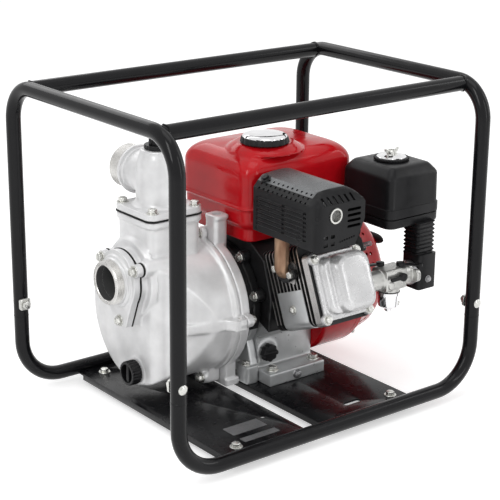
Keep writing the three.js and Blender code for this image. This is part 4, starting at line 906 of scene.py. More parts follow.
class FIREPUMP_OT_suction(bpy.types.Operator):
    """Make the suction flange, its threaded spigot, gasket, bolts and flap"""
    bl_idname = "fire_pump.suction"
    bl_label = "Suction port"

    def execute(self, context):
        made = finishes()
        sizes = context.scene.fire_pump_sizes
        low, high = span("suction_flange")
        face = high.x - 10
        bm = bmesh.new()
        pear(bm, face, high.x)
        rod(bm, (face - 3.5, SHAFT_Y, SUCTION_Z), (face + 2, SHAFT_Y, SUCTION_Z), 35, 80, 37)
        rod(bm, (face - 7, SHAFT_Y, SUCTION_Z), (face + 2, SHAFT_Y, SUCTION_Z), 31.5, 80)
        hollow = bmesh.new()
        rod(hollow, (low.x - 2, SHAFT_Y, SUCTION_Z), (high.x + 2, SHAFT_Y, SUCTION_Z), 23.5, 72)
        # The bore wall of the flange takes the dark grey painted shade.
        piece("suction_flange_casting", bm, made.pump_alloy, replaces=("suction_flange",),
              grain=(0.9, 4), cuts=hollow, smooth=50, rim=(made.bore, in_shaded_suction_bore))
        bm = bmesh.new()
        lathe(bm, thread_profile(-5.5 + face - low.x, 29.8, sizes.thread_pitch, 6.2),
              (low.x, SHAFT_Y, SUCTION_Z),
              (1, 0, 0), 96, closed=True)
        # The inside of the spigot takes the dark grey painted shade.
        piece("suction_thread", bm, made.thread, smooth=25, rim=(made.bore, in_shaded_suction_bore))
        bm = bmesh.new()
        pear(bm, *[v.x for v in span("suction_gasket")], 0.6)
        hollow = bmesh.new()
        rod(hollow, (high.x - 2, SHAFT_Y, SUCTION_Z), (high.x + 6, SHAFT_Y, SUCTION_Z), 23.5, 72)
        piece("suction_gasket_sheet", bm, made.rubber, replaces=("suction_gasket",),
              cuts=hollow)
        bm = bmesh.new()
        for dy, dz in SUCTION_PADS:
            hex_bolt(bm, (face, SHAFT_Y + dy, SUCTION_Z + dz), (-1, 0, 0), sizes.bolt_size, 5, 8)
        piece("suction_bolts", bm, made.zinc, bevel=0.3)
        flap_low, flap_high = span("check_valve_flap")
        bm = bmesh.new()
        lathe(bm, [(24.5, 0), (26.5, 0.8), (27.4, 1.6), (27.4, 2.4), (26, 3), (15.2, 3), (15, 5.6),
                   (13.8, 6)],
              (flap_low.x, SHAFT_Y, SUCTION_Z), (1, 0, 0), 72)
        block(bm, (flap_low.x, flap_low.x + 3), (SHAFT_Y - 10, SHAFT_Y + 10), (SUCTION_Z + 10, flap_high.z),
              2, "x")
        piece("check_valve_rubber", bm, made.flap, body="check_valve",
              replaces=("check_valve_flap",))
        return {"FINISHED"}


class FIREPUMP_OT_discharge(bpy.types.Operator):
    """Cast the discharge elbow with its thread, flange bolts, gasket and priming cap"""
    bl_idname = "fire_pump.discharge"
    bl_label = "Discharge elbow"

    def execute(self, context):
        made = finishes()
        sizes = context.scene.fire_pump_sizes
        low, high = span("discharge_elbow")
        bottom = low.z
        axis_z = 314.0
        end_y = high.y
        cap = middle("priming_cap")
        bm = bmesh.new()
        block(bm, (OUTLET_X - 44, OUTLET_X + 44), (SHAFT_Y - 44, SHAFT_Y + 44), (bottom, bottom + 9), 12)
        rod(bm, (OUTLET_X, SHAFT_Y, bottom + 8), (OUTLET_X, SHAFT_Y, bottom + 16), 37, 80, 30)
        route = bent([(OUTLET_X, SHAFT_Y, bottom + 2), (OUTLET_X, SHAFT_Y, axis_z),
                      (OUTLET_X, end_y - 20, axis_z)], 30, 18)
        sweep(bm, route, [30] * 8 + [28.5] * (len(route) - 8), 72)
        lathe(bm, [(30.5, 0), (30.2, 40), (29.5, 58), (27.5, 70), (25, 76), (24.4, 80), (24.4, high.z - 272)],
              (cap.x, cap.y, 272), (0, 0, 1), 72)
        rod(bm, (cap.x, cap.y, high.z - 5), (cap.x, cap.y, high.z), 25.2, 64)
        rod(bm, (OUTLET_X, end_y - 30, axis_z), (OUTLET_X, end_y - 23, axis_z), 34, 80, 32.5)
        for k in (-1, 1):
            block(bm, (OUTLET_X + k * 34 - 5, OUTLET_X + k * 34 + 5), (SHAFT_Y - 30, SHAFT_Y + 30),
                  (bottom + 8, bottom + 9.5), 2)
        hollow = bmesh.new()
        rod(hollow, (OUTLET_X, SHAFT_Y + 16, axis_z), (OUTLET_X, end_y + 2, axis_z), 23.5, 72)
        piece("elbow_casting", bm, made.pump_alloy, replaces=("discharge_elbow",),
              grain=(1.2, 5), cuts=hollow, smooth=50)
        bm = bmesh.new()
        lathe(bm, thread_profile(22, 29.8, sizes.thread_pitch, 6.2), (OUTLET_X, end_y, axis_z), (0, -1, 0),
              96, closed=True)
        piece("discharge_thread", bm, made.thread, smooth=25)
        bm = bmesh.new()
        for sx in (-1, 1):
            for sy in (-1, 1):
                hex_bolt(bm, (OUTLET_X + sx * 34, SHAFT_Y + sy * 35, bottom + 9), (0, 0, 1),
                         sizes.bolt_size, 5.5, 8.5)
        piece("elbow_bolts", bm, made.zinc, bevel=0.3)
        low, high = span("discharge_gasket")
        bm = bmesh.new()
        block(bm, (low.x, high.x), (low.y, high.y), (low.z, high.z), 12)
        hollow = bmesh.new()
        rod(hollow, (OUTLET_X, SHAFT_Y, low.z - 2), (OUTLET_X, SHAFT_Y, high.z + 2), 30, 64)
        piece("discharge_gasket_sheet", bm, made.rubber, replaces=("discharge_gasket",),
              cuts=hollow)

        low, high = span("priming_cap")
        z = low.z + 14
        bm = bmesh.new()
        rim = []
        for level, grow in ((z, -0.8), (z + 0.8, 0), (z + 5.2, 0), (z + 6, -0.9)):
            ring = []
            for k in range(120):
                angle = math.tau * k / 120
                radius = 19.6 + grow + 0.4 * math.cos(24 * angle)
                ring.append((cap.x + radius * math.cos(angle), cap.y + radius * math.sin(angle), level))
            rim.append(ring)
        loft(bm, rim)
        lathe(bm, [(14.5, 0), (14.2, 3), (12.6, 9), (10.5, 10)], (cap.x, cap.y, z + 5.5), (0, 0, 1), 6)
        block(bm, (cap.x - 15.5, cap.x + 15.5), (cap.y - 3, cap.y + 3), (z + 5.5, high.z), 2.5)
        rod(bm, (cap.x, cap.y, low.z), (cap.x, cap.y, z + 1), 12.4, 40)
        piece("priming_cap_moulded", bm, made.plastic, body="priming_cap",
              replaces=("priming_cap",), bevel=0.7)
        return {"FINISHED"}


class FIREPUMP_OT_drain(bpy.types.Operator):
    """Mould the drain plug with its cupped head and grip bar"""
    bl_idname = "fire_pump.drain"
    bl_label = "Drain plug"

    def execute(self, context):
        low, high = span("drain_plug")
        y, z = (low.y + high.y) / 2, (low.z + high.z) / 2
        face = high.x - 14
        bm = bmesh.new()
        outer = []
        for level, grow in ((face, -0.8), (face - 1, 0), (face - 14, 0), (face - 15, -0.8)):
            ring = []
            for k in range(144):
                angle = math.tau * k / 144
                radius = 16.4 + grow + 0.5 * math.cos(24 * angle)
                ring.append((level, y + radius * math.cos(angle), z + radius * math.sin(angle)))
            outer.append(ring)
        loft(bm, outer)
        rod(bm, (face - 1, y, z), (high.x, y, z), 10.4, 48)
        cup = bmesh.new()
        rod(cup, (face - 17, y, z), (face - 5, y, z), 13, 64)
        piece("drain_plug_moulded", bm, finishes().plastic, body="drain_plug",
              replaces=("drain_plug",), cuts=cup)
        bm = bmesh.new()
        block(bm, (face - 13.5, face - 4), (y - 3, y + 3), (z - 13, z + 13), 1.5, "x")
        piece("drain_plug_grip", bm, finishes().plastic, body="drain_plug", bevel=0.8)
        return {"FINISHED"}


# ------------------------------------------------------------------ engine
CRANKCASE_SIDE = [(-32, 16.3), (160, 16.3), (164, 56.3), (158, 164.5), (132, 202.5), (104, 215.7),
                  (18, 215.7),
                  (-14, 194.5), (-30, 144.5), (-26, 94.5), (-2, 80.5), (-2, 34.3), (-32, 34.3)]
CRANKCASE_X = (16.3, 114.0)


class FIREPUMP_OT_crankcase(bpy.types.Operator):
    """Cast the crankcase with its ledge, foot bolts and oil drain"""
    bl_idname = "fire_pump.crankcase"
    bl_label = "Crankcase"

    def execute(self, context):
        made = finishes()
        low_x, high_x = CRANKCASE_X
        bm = bmesh.new()
        prism(bm, CRANKCASE_SIDE, low_x, high_x, "x")
        block(bm, (low_x - 0, high_x), (-32, 30), (16.3, 25), 3, "x")
        for x in (31, 104):
            rod(bm, (x, -18, 22), (x, -18, 34.3), 10.5, 40)
        rod(bm, (33, -3, 56), (33, 20, 56), 17, 56)
        block(bm, (54, 78), (-31.9, -10), (17, 33.6), 4)
        cuts = bmesh.new()
        block(cuts, (high_x - 13, high_x - 8), (-60, -18), (60, 210))
        block(cuts, (96, 99.5), (-60, -27), (84, 210))
        # The upper crankcase takes the black finish: painted shade where it sits in shadow under the
        # cylinder, together with the black paint of the engine.
        shaded_shoulder = (made.black_cover_and_shade, lambda centre, normal: centre.z > 108 + 0.5 * centre.y)
        piece("crankcase_casting", bm, made.engine_alloy, replaces=("crankcase",),
              grain=(1.5, 6), cuts=cuts, rim=shaded_shoulder, smooth=45)
        bm = bmesh.new()
        for x in (31, 104):
            hex_bolt(bm, (x, -17.5, 34), (0, 0, 1), 7, 5, 9)
        piece("crankcase_foot_bolts", bm, made.zinc, bevel=0.3)
        bm = bmesh.new()
        hex_bolt(bm, (64, -31.5, 25), (0, -1, 0), 5.6, 4, 7)
        piece("oil_drain_bolt", bm, made.steel, bevel=0.3)

        high = span("oil_plug")[1]
        centre = (33.0, 56.0)
        face = high.y - 12
        bm = bmesh.new()
        rings = []
        for level, grow in ((face, -1), (face - 1, 0), (face - 9, 0), (face - 10.5, -1.4)):
            ring = []
            for k in range(128):
                angle = math.tau * k / 128
                radius = 12.2 + grow + 0.75 * math.cos(8 * angle)
                ring.append((centre[0] + radius * math.cos(angle), level,
                             centre[1] + radius * math.sin(angle)))
            rings.append(ring)
        loft(bm, rings)
        block(bm, (centre[0] - 12, centre[0] + 12), (face - 11.8, face - 8), (centre[1] - 3, centre[1] + 3),
              2.5, "y")
        rod(bm, (centre[0], face - 1, centre[1]), (centre[0], high.y, centre[1]), 8.5, 40)
        piece("oil_plug_moulded", bm, made.plastic, body="oil_plug",
              replaces=("oil_plug",), bevel=0.5)
        return {"FINISHED"}


class FIREPUMP_OT_crankcase_cover(bpy.types.Operator):
    """Cast the pump-side cover: a black disc on a bright ribbed foot"""
    bl_idname = "fire_pump.crankcase_cover"
    bl_label = "Crankcase cover"

    def execute(self, context):
        made = finishes()
        bm = bmesh.new()
        rod(bm, (3, SHAFT_Y, SHAFT_Z), (15.8, SHAFT_Y, SHAFT_Z), 80, 96)
        for angle in (35, 125, 165, 330):
            y, z = on_shaft(84, angle)
            rod(bm, (3, y, z), (15.8, y, z), 9, 40)
        for angle in range(0, 360, 30):
            sweep(bm, [(3.4, *on_shaft(60, angle)), (3.4, *on_shaft(79, angle))], 2.2, 12)
        prism(bm, [(-8, 34), (20, 34), (62, 84.5), (14, 104)], 3, 15.6, "x")
        block(bm, (-5.6, 15.7), (-8, 20), (16.4, 42), 5, "z")
        block(bm, (-5.6, 3), (-4, 16), (30, 41.5), 3, "x")
        hole = bmesh.new()
        rod(hole, (-12, SHAFT_Y, SHAFT_Z), (20, SHAFT_Y, SHAFT_Z), 20, 56)
        cover = piece("cover_casting", bm, made.black_cover_and_shade, replaces=("crankcase_cover",),
                      grain=(1.5, 4), cuts=hole, smooth=50)
        cover.data.materials.append(made.engine_alloy)
        for polygon in cover.data.polygons:
            centre = polygon.center / MM
            if centre.y < 26 and centre.z < 96:
                polygon.material_index = 1
        bm = bmesh.new()
        hex_bolt(bm, (3, 4, 42), (0, 0, 1), 6.6, 4.2, 8.2)
        for angle in (35, 125, 165, 330):
            hex_bolt(bm, (3, *on_shaft(84, angle)), (-1, 0, 0), 5.4, 4, 7)
        piece("cover_bolts", bm, made.zinc, bevel=0.3)
        return {"FINISHED"}


class FIREPUMP_OT_cylinder(bpy.types.Operator):
    """Cast the cylinder block and its row of fins"""
    bl_idname = "fire_pump.cylinder"
    bl_label = "Cylinder and fins"

    def execute(self, context):
        made = finishes()
        pitch = context.scene.fire_pump_sizes.fin_pitch
        bm = bmesh.new()
        block(bm, (-33, 33), (-109, -2), (-36, 50), 8, "y")
        block(bm, (-42, 42), (-12, -0.4), (-49, 49), 7, "y")
        at = -15.0
        while at - 2.2 > -100:
            at -= pitch
            block(bm, (-40, 40), (at, at + 2.2), (-47, 63.5), 9, "y")
        tilted(bm)
        block(bm, (19, 42), (-77.5, -42.5), (178, 208), 4, "x")
        out = Vector((0, -math.cos(CYL_TILT), math.sin(CYL_TILT)))

        def on_edge(centre, normal):
            flat = abs(normal.dot(out))
            return flat < 0.5 and centre.z > 120 and centre.y < 0

        piece("cylinder_casting", bm, made.fin_black, replaces=("cylinder_head",), bevel=0,
              rim=(made.fin_edge, on_edge), smooth=40)

        bm = bmesh.new()
        block(bm, (-38, 43), (0.2, 6), (-43, 45), 10, "y")
        for sx in (-1, 1):
            for sz in (-1, 1):
                rod(bm, (sx * 36.5, 0.2, sz * 40.5), (sx * 36.5, 7, sz * 40.5), 7.4, 36)

        def lid(left, right, low, high, levels, corner):
            rings = []
            for level, inset in levels:
                outline = rounded((left + inset, right - inset), (low + inset, high - inset), corner, 8)
                rings.append([(a, level, b) for a, b in outline])
            loft(bm, rings)

        lid(-33, 38, -37, 40, [(5, 0), (11, 0.3), (14, 1.6), (15.6, 4), (16, 7)], 14)
        lid(-21, 42, -38.5, 41.5, [(5, 0), (18, 0.6), (23, 2.2), (26.6, 5), (28.9, 9), (29.7, 14)], 16)
        tilted(bm)
        piece("valve_cover_casting", bm, made.bright_alloy, replaces=("valve_cover",),
              grain=(0.9, 4), smooth=60)
        bm = bmesh.new()
        for sx in (-1, 1):
            for sz in (-1, 1):
                hex_bolt(bm, (sx * 36.5, 7, sz * 40.5), (0, 1, 0), 5.2, 3.6, 6.6)
        tilted(bm)
        piece("valve_cover_bolts", bm, made.zinc, bevel=0.3)
        return {"FINISHED"}


class FIREPUMP_OT_shroud(bpy.types.Operator):
    """Press the cylinder shroud and fit its screw, spark plug cap and lead"""
    bl_idname = "fire_pump.shroud"
    bl_label = "Cylinder shroud and ignition lead"

    def execute(self, context):
        made = finishes()
        low, high = span("cylinder_shroud")
        bm = bmesh.new()
        thick = 1.6
        outline = [(-42.4, 5)]
        for k in range(9):
            angle = math.radians(180 + 90 * k / 8)
            outline.append((-30.4 + 12 * math.cos(angle), -37 + 12 * math.sin(angle)))
        outline += [(41, -49), (41, -49 + thick)]
        for k in range(8, -1, -1):
            angle = math.radians(180 + 90 * k / 8)
            outline.append((-30.4 + (12 - thick) * math.cos(angle), -37 + (12 - thick) * math.sin(angle)))
        outline += [(-42.4 + thick, 5)]
        prism(bm, outline, -80, -26, "y")
        tilted(bm)
        piece("shroud_pressing", bm, made.engine_alloy, replaces=("cylinder_shroud",),
              bevel=0.5)
        bm = bmesh.new()
        hex_bolt(bm, (-42.4, -53, -20), (-1, 0, 0), 4.6, 3.4, 6.6)
        tilted(bm)
        piece("shroud_screw", bm, made.zinc, bevel=0.3)

        low, high = span("spark_plug_cap")
        foot = Vector((low.x + 1, low.y + 12, low.z + 10))
        top = Vector((high.x - 8, high.y - 8, high.z - 9))
        bm = bmesh.new()
        sweep(bm, smooth_path([foot, foot + Vector((8, -2, 6)), (foot + top) / 2 + Vector((2, -3, 6)), top],
                              8),
              [8.6] * 10 + [8.0] * 8 + [6.5] * 7, 36)
        piece("spark_plug_boot", bm, made.rubber, replaces=("spark_plug_cap",),
              grain=(0.9, 2))
        coil = middle("ignition_coil")
        bm = bmesh.new()
        path = smooth_path([top, top + Vector((10, 6, 8)), (136, -44, 238), (138, 10, 240), (139, 52, 232),
                            (coil.x, coil.y - 10, coil.z)], 8)
        sweep(bm, path, 3.2, 20)
        piece("ignition_lead", bm, made.rubber)
        return {"FINISHED"}


GUARD_CENTRE = Vector((37.0, 281.0))


def guard_section(wall):
    """The guard's outline across its length, as (x, z) points, shrunk by its wall."""
    points = [(-2.4, 243), (20, 243), (62, 243), (70, 260), (78, 277), (78, 290), (78, 300)]
    for a, b, c in (((78, 300), (71, 319), (50, 319.4)), ((50, 319.4), (30, 319.8), (13, 317))):
        for k in range(1, 9):
            t = k / 8
            points.append(tuple((1 - t) ** 2 * p + 2 * t * (1 - t) * q + t * t * r for p, q,
                                r in zip(a, b, c)))
    points += [(5, 310.5), (-2.4, 302.5), (-2.4, 280), (-2.4, 260)]
    shrunk = []
    for a, b in points:
        way = Vector((a, b)) - GUARD_CENTRE
        shrunk.append(tuple(GUARD_CENTRE + way * (1 - wall * 1.2 / way.length)))
    return shrunk


def guard_rings(section, near, far, wall=0.0):
    """The guard along Y: a rounded near corner on the -X side and a sloping near brow."""
    rings = []
    for reach in (0, 1, 2.5, 5, 8, 12, 16, 20, 24, 60, far - near):
        y = near + reach
        brow = 303 + reach * 0.78 - wall
        turn = 12.0
        side = turn - math.sqrt(max(0.0, turn ** 2 - max(0.0, turn - reach) ** 2))
        rings.append([(max(x, -2.4 + side + wall), y, min(z, brow)) for x, z in section])
    return rings


class FIREPUMP_OT_exhaust(bpy.types.Operator):
    """Bend the exhaust pipe, roll the muffler and press its perforated shield"""
    bl_idname = "fire_pump.exhaust"
    bl_label = "Exhaust and muffler"

    def execute(self, context):
        made = finishes()
        low, high = span("exhaust_pipe")
        y, z, pipe_x = -60.0, 193.0, 9.7
        bm = bmesh.new()
        route = bent([(high.x - 2, y, z), (pipe_x, y, z), (pipe_x, y, high.z)], 8.5, 12)
        sweep(bm, route, 10, 44)
        piece("exhaust_tube", bm, made.exhaust, replaces=("exhaust_pipe",))
        bm = bmesh.new()
        for dy in (-15, 15):
            rod(bm, (high.x - 6, y + dy, z), (high.x, y + dy, z), 7.6, 36)
        rod(bm, (high.x - 6, y, z), (high.x, y, z), 15.5, 56)
        piece("exhaust_flange", bm, made.black_cover_and_shade, grain=(0.9, 2))
        bm = bmesh.new()
        for dy in (-16, 16):
            rod(bm, (high.x - 12, y + dy, z), (high.x - 4, y + dy, z), 2, 20)
            lathe(bm, [(5.2, 0), (5.4, 0.4), (5.4, 4.2), (4.6, 5)], (high.x - 6, y + dy, z), (-1, 0, 0), 6)
        piece("exhaust_nuts", bm, made.zinc, bevel=0.2)

        low, high = span("muffler")
        bm = bmesh.new()
        outline = rounded((low.x + 1, high.x - 1), (low.z + 1, high.z - 6), 22, 10)
        prism(bm, outline, low.y + 14, high.y - 3, "y")
        piece("muffler_can", bm, made.steel, replaces=("muffler",), bevel=1.5)

        low, high = span("muffler_shield")
        y0, y1 = low.y + 0.4, high.y - 0.4
        outer_section = guard_section(0)
        inner_section = guard_section(1.5)
        bm = bmesh.new()
        loft(bm, guard_rings(outer_section, y0, y1))
        inner = bmesh.new()
        loft(inner, guard_rings(inner_section, y0 + 1.5, y1 - 1.5, 1.5))
        block(inner, (2, 58), (y0 + 14, y1 - 8), (236, 248))
        louvres = context.scene.fire_pump_sizes.louvre_count
        first, last = 251.0, 293.0
        step = (last - first) / louvres
        for k in range(louvres):
            z = first + (k + 0.5) * step
            for y in (y0 + 24, y0 + 67, y1 - 8):
                rod(inner, (-10, y, z), (2, y, z), 1.3, 14)
        for x, z in ((-1.6, 303.6), (3.6, 308.4), (8.6, 313.0)):
            for k in range(11):
                y = y0 + 26 + k * 9.4
                rod(inner, (x - 5.6, y, z + 6), (x + 5, y, z - 5.4), 1.7, 14)
        rod(inner, (28, y0 - 4, 288), (28, y0 + 6, 288), 11, 48)
        for k in range(4):
            z = 270 + k * 7.4
            block(inner, (48, 71), (y0 - 4, y0 + 6), (z - 1.9, z + 1.9), 1.8, "y")
        for k in range(6):
            x = 12 + k * 9.6
            loft(inner, [[(x - 1.7, y0 + 4, 298), (x + 1.7, y0 + 4, 298), (x + 1.7, y0 + 14, 306),
                          (x - 1.7, y0 + 14, 306)],
                         [(x - 1.7, y0 - 2, 308), (x + 1.7, y0 - 2, 308), (x + 1.7, y0 + 8, 316),
                          (x - 1.7, y0 + 8, 316)]])
        for x in (12, 24):
            for z in (251, 261):
                block(inner, (x - 3.4, x + 3.4), (y0 - 4, y0 + 6), (z - 2.4, z + 2.4), 1.2, "y")
        for k in range(7):
            rod(inner, (36 + k * 4, y0 - 4, 252 + 0.6 * k), (36 + k * 4, y0 + 6, 252 + 0.6 * k), 1.4, 14)
        for k in range(5):
            block(inner, (74, 84), (y0 + 25 + k * 18, y0 + 36 + k * 18), (286, 289))
        crown = (made.shield_top, lambda centre,
                 normal: normal.z > 0.55 and centre.z > 311 and centre.y > y0 + 21)
        piece("muffler_guard", bm, made.shield, replaces=("muffler_shield",), cuts=inner,
              rim=crown, smooth=30)
        bm = bmesh.new()
        step = (last - first) / louvres
        for k in range(louvres):
            z = first + (k + 0.5) * step
            for a, b in ((y0 + 27, y0 + 64), (y0 + 70, y1 - 11)):
                sweep(bm, [(-2.3, a, z), (-2.3, b, z)], 1.8, 14)
        piece("guard_louvres", bm, made.shield)
        bm = bmesh.new()
        lathe(bm, [(8.0, 0), (10.2, 0), (10.2, 16), (8.0, 16)], (28, low.y - 0.8, 288), (0, 1, 0), 56,
              closed=True)
        piece("tail_pipe", bm, made.zinc)
        bm = bmesh.new()
        lathe(bm, [(6.6, 0), (6.6, 1), (3.4, 1.4), (3.2, 0.9)], (44, -72, 316.4), (0, 0, 1), 32)
        piece("guard_crown_screw", bm, made.zinc, bevel=0.2)
        bm = bmesh.new()
        hex_bolt(bm, (9, y1 - 12, 314.6), (-0.5, 0, 0.86), 5.4, 4, 7)
        piece("guard_corner_nut", bm, made.black_cover_and_shade, bevel=0.3)
        return {"FINISHED"}


class FIREPUMP_OT_tank(bpy.types.Operator):
    """Draw the fuel tank with its seam and neck dome, and fit the cap"""
    bl_idname = "fire_pump.tank"
    bl_label = "Fuel tank and cap"

    def execute(self, context):
        made = finishes()
        low, high = span("fuel_tank")
        x0, x1, y0, y1 = low.x + 3, high.x - 3, low.y + 3, high.y - 3
        top = 338.0
        seam = 266.0
        bend = 26.0
        rings = []
        for level, inset in [(seam, 0), (seam + 3, -0.0)]:
            rings.append([(a, b, level) for a, b in rounded((x0 + inset, x1 - inset), (y0 + inset,
                y1 - inset), 20, 10)])
        for k in range(13):
            angle = math.radians(90 * k / 12)
            inset = bend * (1 - math.cos(angle))
            level = top - 3 - bend + bend * math.sin(angle)
            rings.append([(a, b, level) for a, b in rounded((x0 + inset, x1 - inset), (y0 + inset,
                y1 - inset),
                                                            20 + inset * 0.2, 10)])
        for inset, level in ((44, top - 1.2), (62, top - 0.3)):
            rings.append([(a, b, level) for a, b in rounded((x0 + inset, x1 - inset), (y0 + inset,
                y1 - inset), 18, 10)])
        bm = bmesh.new()
        loft(bm, rings)
        lower = []
        for k in range(9):
            angle = math.radians(90 * k / 8)
            inset = 3 + 14 * (1 - math.cos(angle))
            level = 248 - 14 * math.sin(angle)
            lower.append([(a, b, level) for a, b in rounded((x0 + inset, x1 - inset), (y0 + inset,
                y1 - inset), 16, 10)])
        body = list(reversed(lower))
        body.append([(a, b, seam) for a, b in rounded((x0 + 2, x1 - 2), (y0 + 2, y1 - 2), 18, 10)])
        loft(bm, body)
        block(bm, (low.x, high.x), (low.y, high.y), (seam - 1.6, seam + 1.4), 22)
        block(bm, (6, 102), (6, 138), (low.z + 0.3, 240), 14)
        cap = middle("fuel_cap")
        lathe(bm, [(54, 0), (50, 4.5), (46, 7), (42.5, 9.3), (39, 10.6), (30, 10.8)], (62, 44, top - 4),
              (0, 0, 1), 96)
        piece("tank_shell", bm, made.red, replaces=("fuel_tank",), grain=(1.6, 4), smooth=60)
        low_c, high_c = span("fuel_cap")
        radius = (high_c.x - low_c.x) / 2
        bm = bmesh.new()
        rings = []
        for level, grow in ((high.z + 0.4, -1.4), (high.z + 1.6, -0.1), (high_c.z - 5.5, -1.6),
                            (high_c.z - 4.2, -2.6)):
            ring = []
            for k in range(216):
                angle = math.tau * k / 216
                lobe = 0.9 * (abs(math.cos(9 * angle)) ** 0.5 - 1) * 1.6
                ring.append((cap.x + (radius + grow + lobe) * math.cos(angle),
                             cap.y + (radius + grow + lobe) * math.sin(angle), level))
            rings.append(ring)
        loft(bm, rings)
        piece("fuel_cap_grip", bm, made.satin_plastic, body="fuel_cap", bevel=0.3)
        bm = bmesh.new()
        r = radius - 3
        lathe(bm, [(r - 3, 0), (r - 0.6, 0.2), (r, 1.2), (r - 0.5, 3.0), (r - 2.6, 4.6), (r - 9, 5.6),
                   (r - 20, 6.0),
                   (1, 6.1)], (cap.x, cap.y, high_c.z - 6.4), (0, 0, 1), 96)
        rod(bm, (cap.x, cap.y, low_c.z), (cap.x, cap.y, high.z + 3), 20, 48)
        piece("fuel_cap_shell", bm, made.chrome, body="fuel_cap", replaces=("fuel_cap",))
        return {"FINISHED"}


class FIREPUMP_OT_air_filter(bpy.types.Operator):
    """Mould the filter tray, its corrugated duct, the lid, the foam and the wing nut"""
    bl_idname = "fire_pump.air_filter"
    bl_label = "Air filter"

    def execute(self, context):
        made = finishes()
        low, high = span("air_filter_cover")
        base_high = span("air_filter_base")[1]
        x, y = (low.x, high.x), (low.y, high.y)

        def box_rings(levels, radius):
            return [[(a, b, z) for a, b in rounded((x[0] + inset, x[1] - inset), (y[0] + inset, y[1] - inset),
                                                   max(3.0, radius - inset * 0.3), 6)] for z, inset in levels]

        bm = bmesh.new()
        loft(bm, box_rings([(250.6, 0.6), (251.4, 0), (264, 0), (264.4, 0.9), (266, 1.5), (304, 1.9),
                            (307, 2.6),
                            (309, 4), (316, 9.6), (318, 11.8), (319.2, 15), (high.z - 0.4, 22)], 11))
        inside = bmesh.new()
        loft(inside, box_rings([(240, 3), (300, 5), (311, 13), (316, 20)], 9))
        post = middle("wing_nut")
        rod(inside, (post.x, post.y, 290), (post.x, post.y, 330), 4, 32)
        piece("filter_lid", bm, made.plastic, body="filter_cover",
              replaces=("air_filter_cover",),
              cuts=inside, smooth=28)
        bm = bmesh.new()
        tray = box_rings([(236.3, 4), (238, 1), (240, 0.2), (249.6, 0.2)], 12)
        loft(bm, tray)
        duct = (213.0 + 2, -107.5)
        rod(bm, (post.x, post.y, 248), (post.x, post.y, base_high.z), 3.2, 32)
        rings = []
        count = 60
        for k in range(count + 1):
            z = 194 + (240 - 194) * k / count
            wave = 0.9 * math.cos(math.tau * k / 7.5)
            ring = []
            for a, b in rounded((199.0 - wave, 231.0 + wave), (-122.0 - wave, -93.0 + wave), 4, 6):
                ring.append((a, b, z))
            rings.append(ring)
        loft(bm, rings)
        path = bent([(duct[0], duct[1], 200), (duct[0], duct[1], 169), (176, duct[1], 169)], 17, 12)
        sweep(bm, path, 14.6, 44)
        block(bm, (198.6, 231.4), (-127.2, -92.8), (146, 196), 4)
        piece("filter_tray_and_duct", bm, made.plastic, replaces=("air_filter_base",),
              smooth=30)
        bm = bmesh.new()
        hex_bolt(bm, (216, -127, 160), (0, -1, 0), 4, 2.6, 5)
        lathe(bm, [(17.2, 0), (17.2, 6), (14.4, 6), (14.4, 0)], (198, -110, 169), (-1, 0, 0), 56, closed=True)
        piece("duct_clamp", bm, made.steel, bevel=0.3)

        low, high = span("air_filter_element")
        bm = bmesh.new()
        block(bm, (low.x, high.x), (low.y, high.y), (low.z, high.z), 14)
        hole = bmesh.new()
        block(hole, (low.x + 14, high.x - 14), (low.y + 14, high.y - 14), (low.z - 4, high.z + 4), 8)
        piece("filter_foam", bm, made.foam, replaces=("air_filter_element",), cuts=hole,
              bevel=1.2)

        low, high = span("wing_nut")
        z = low.z
        radius = (high.x - low.x) / 2
        bm = bmesh.new()
        rings = []
        for level, grow in ((z, -0.8), (z + 0.6, 0), (z + 2.6, 0), (z + 3.2, -0.8)):
            ring = []
            for k in range(240):
                angle = math.tau * k / 240
                r = radius - 0.5 + grow + 0.45 * math.cos(40 * angle)
                ring.append((post.x + r * math.cos(angle), post.y + r * math.sin(angle), level))
            rings.append(ring)
        loft(bm, rings)
        hole = bmesh.new()
        rod(hole, (post.x, post.y, z - 2), (post.x, post.y, z + 6), 3.6, 32)
        piece("wing_nut_rim", bm, made.satin_plastic, body="wing_nut",
              replaces=("wing_nut",), cuts=hole)
        bm = bmesh.new()
        lathe(bm, [(3.7, 0), (19.5, 0), (20.5, 0.6), (19.8, 1.4), (14, 2.0), (12, 3.2), (8, 3.8), (3.7, 4)],
              (post.x, post.y, z + 3), (0, 0, 1), 80, closed=True)
        piece("wing_nut_dish", bm, made.chrome, body="wing_nut")
        bm = bmesh.new()
        lathe(bm, [(3.6, 0), (7.2, 0), (6.6, 5), (5, 6.5), (3.6, 6.5)], (post.x, post.y, z + 6.4),
              (0, 0, 1), 40, closed=True)
        for side in (-1, 1):
            wing = [(side * 4.6, z + 7.4), (side * 9, z + 8.4), (side * 12.4, z + 12), (side * 12.9, high.z),
                    (side * 9.6, high.z - 0.2), (side * 6.6, z + 12.2), (side * 4.6, z + 11.8)]
            prism(bm, [(post.x + a, b) for a, b in wing], post.y - 1.4, post.y + 1.4, "y")
        piece("wing_nut_wings", bm, made.zinc, body="wing_nut", bevel=0.5)
        return {"FINISHED"}


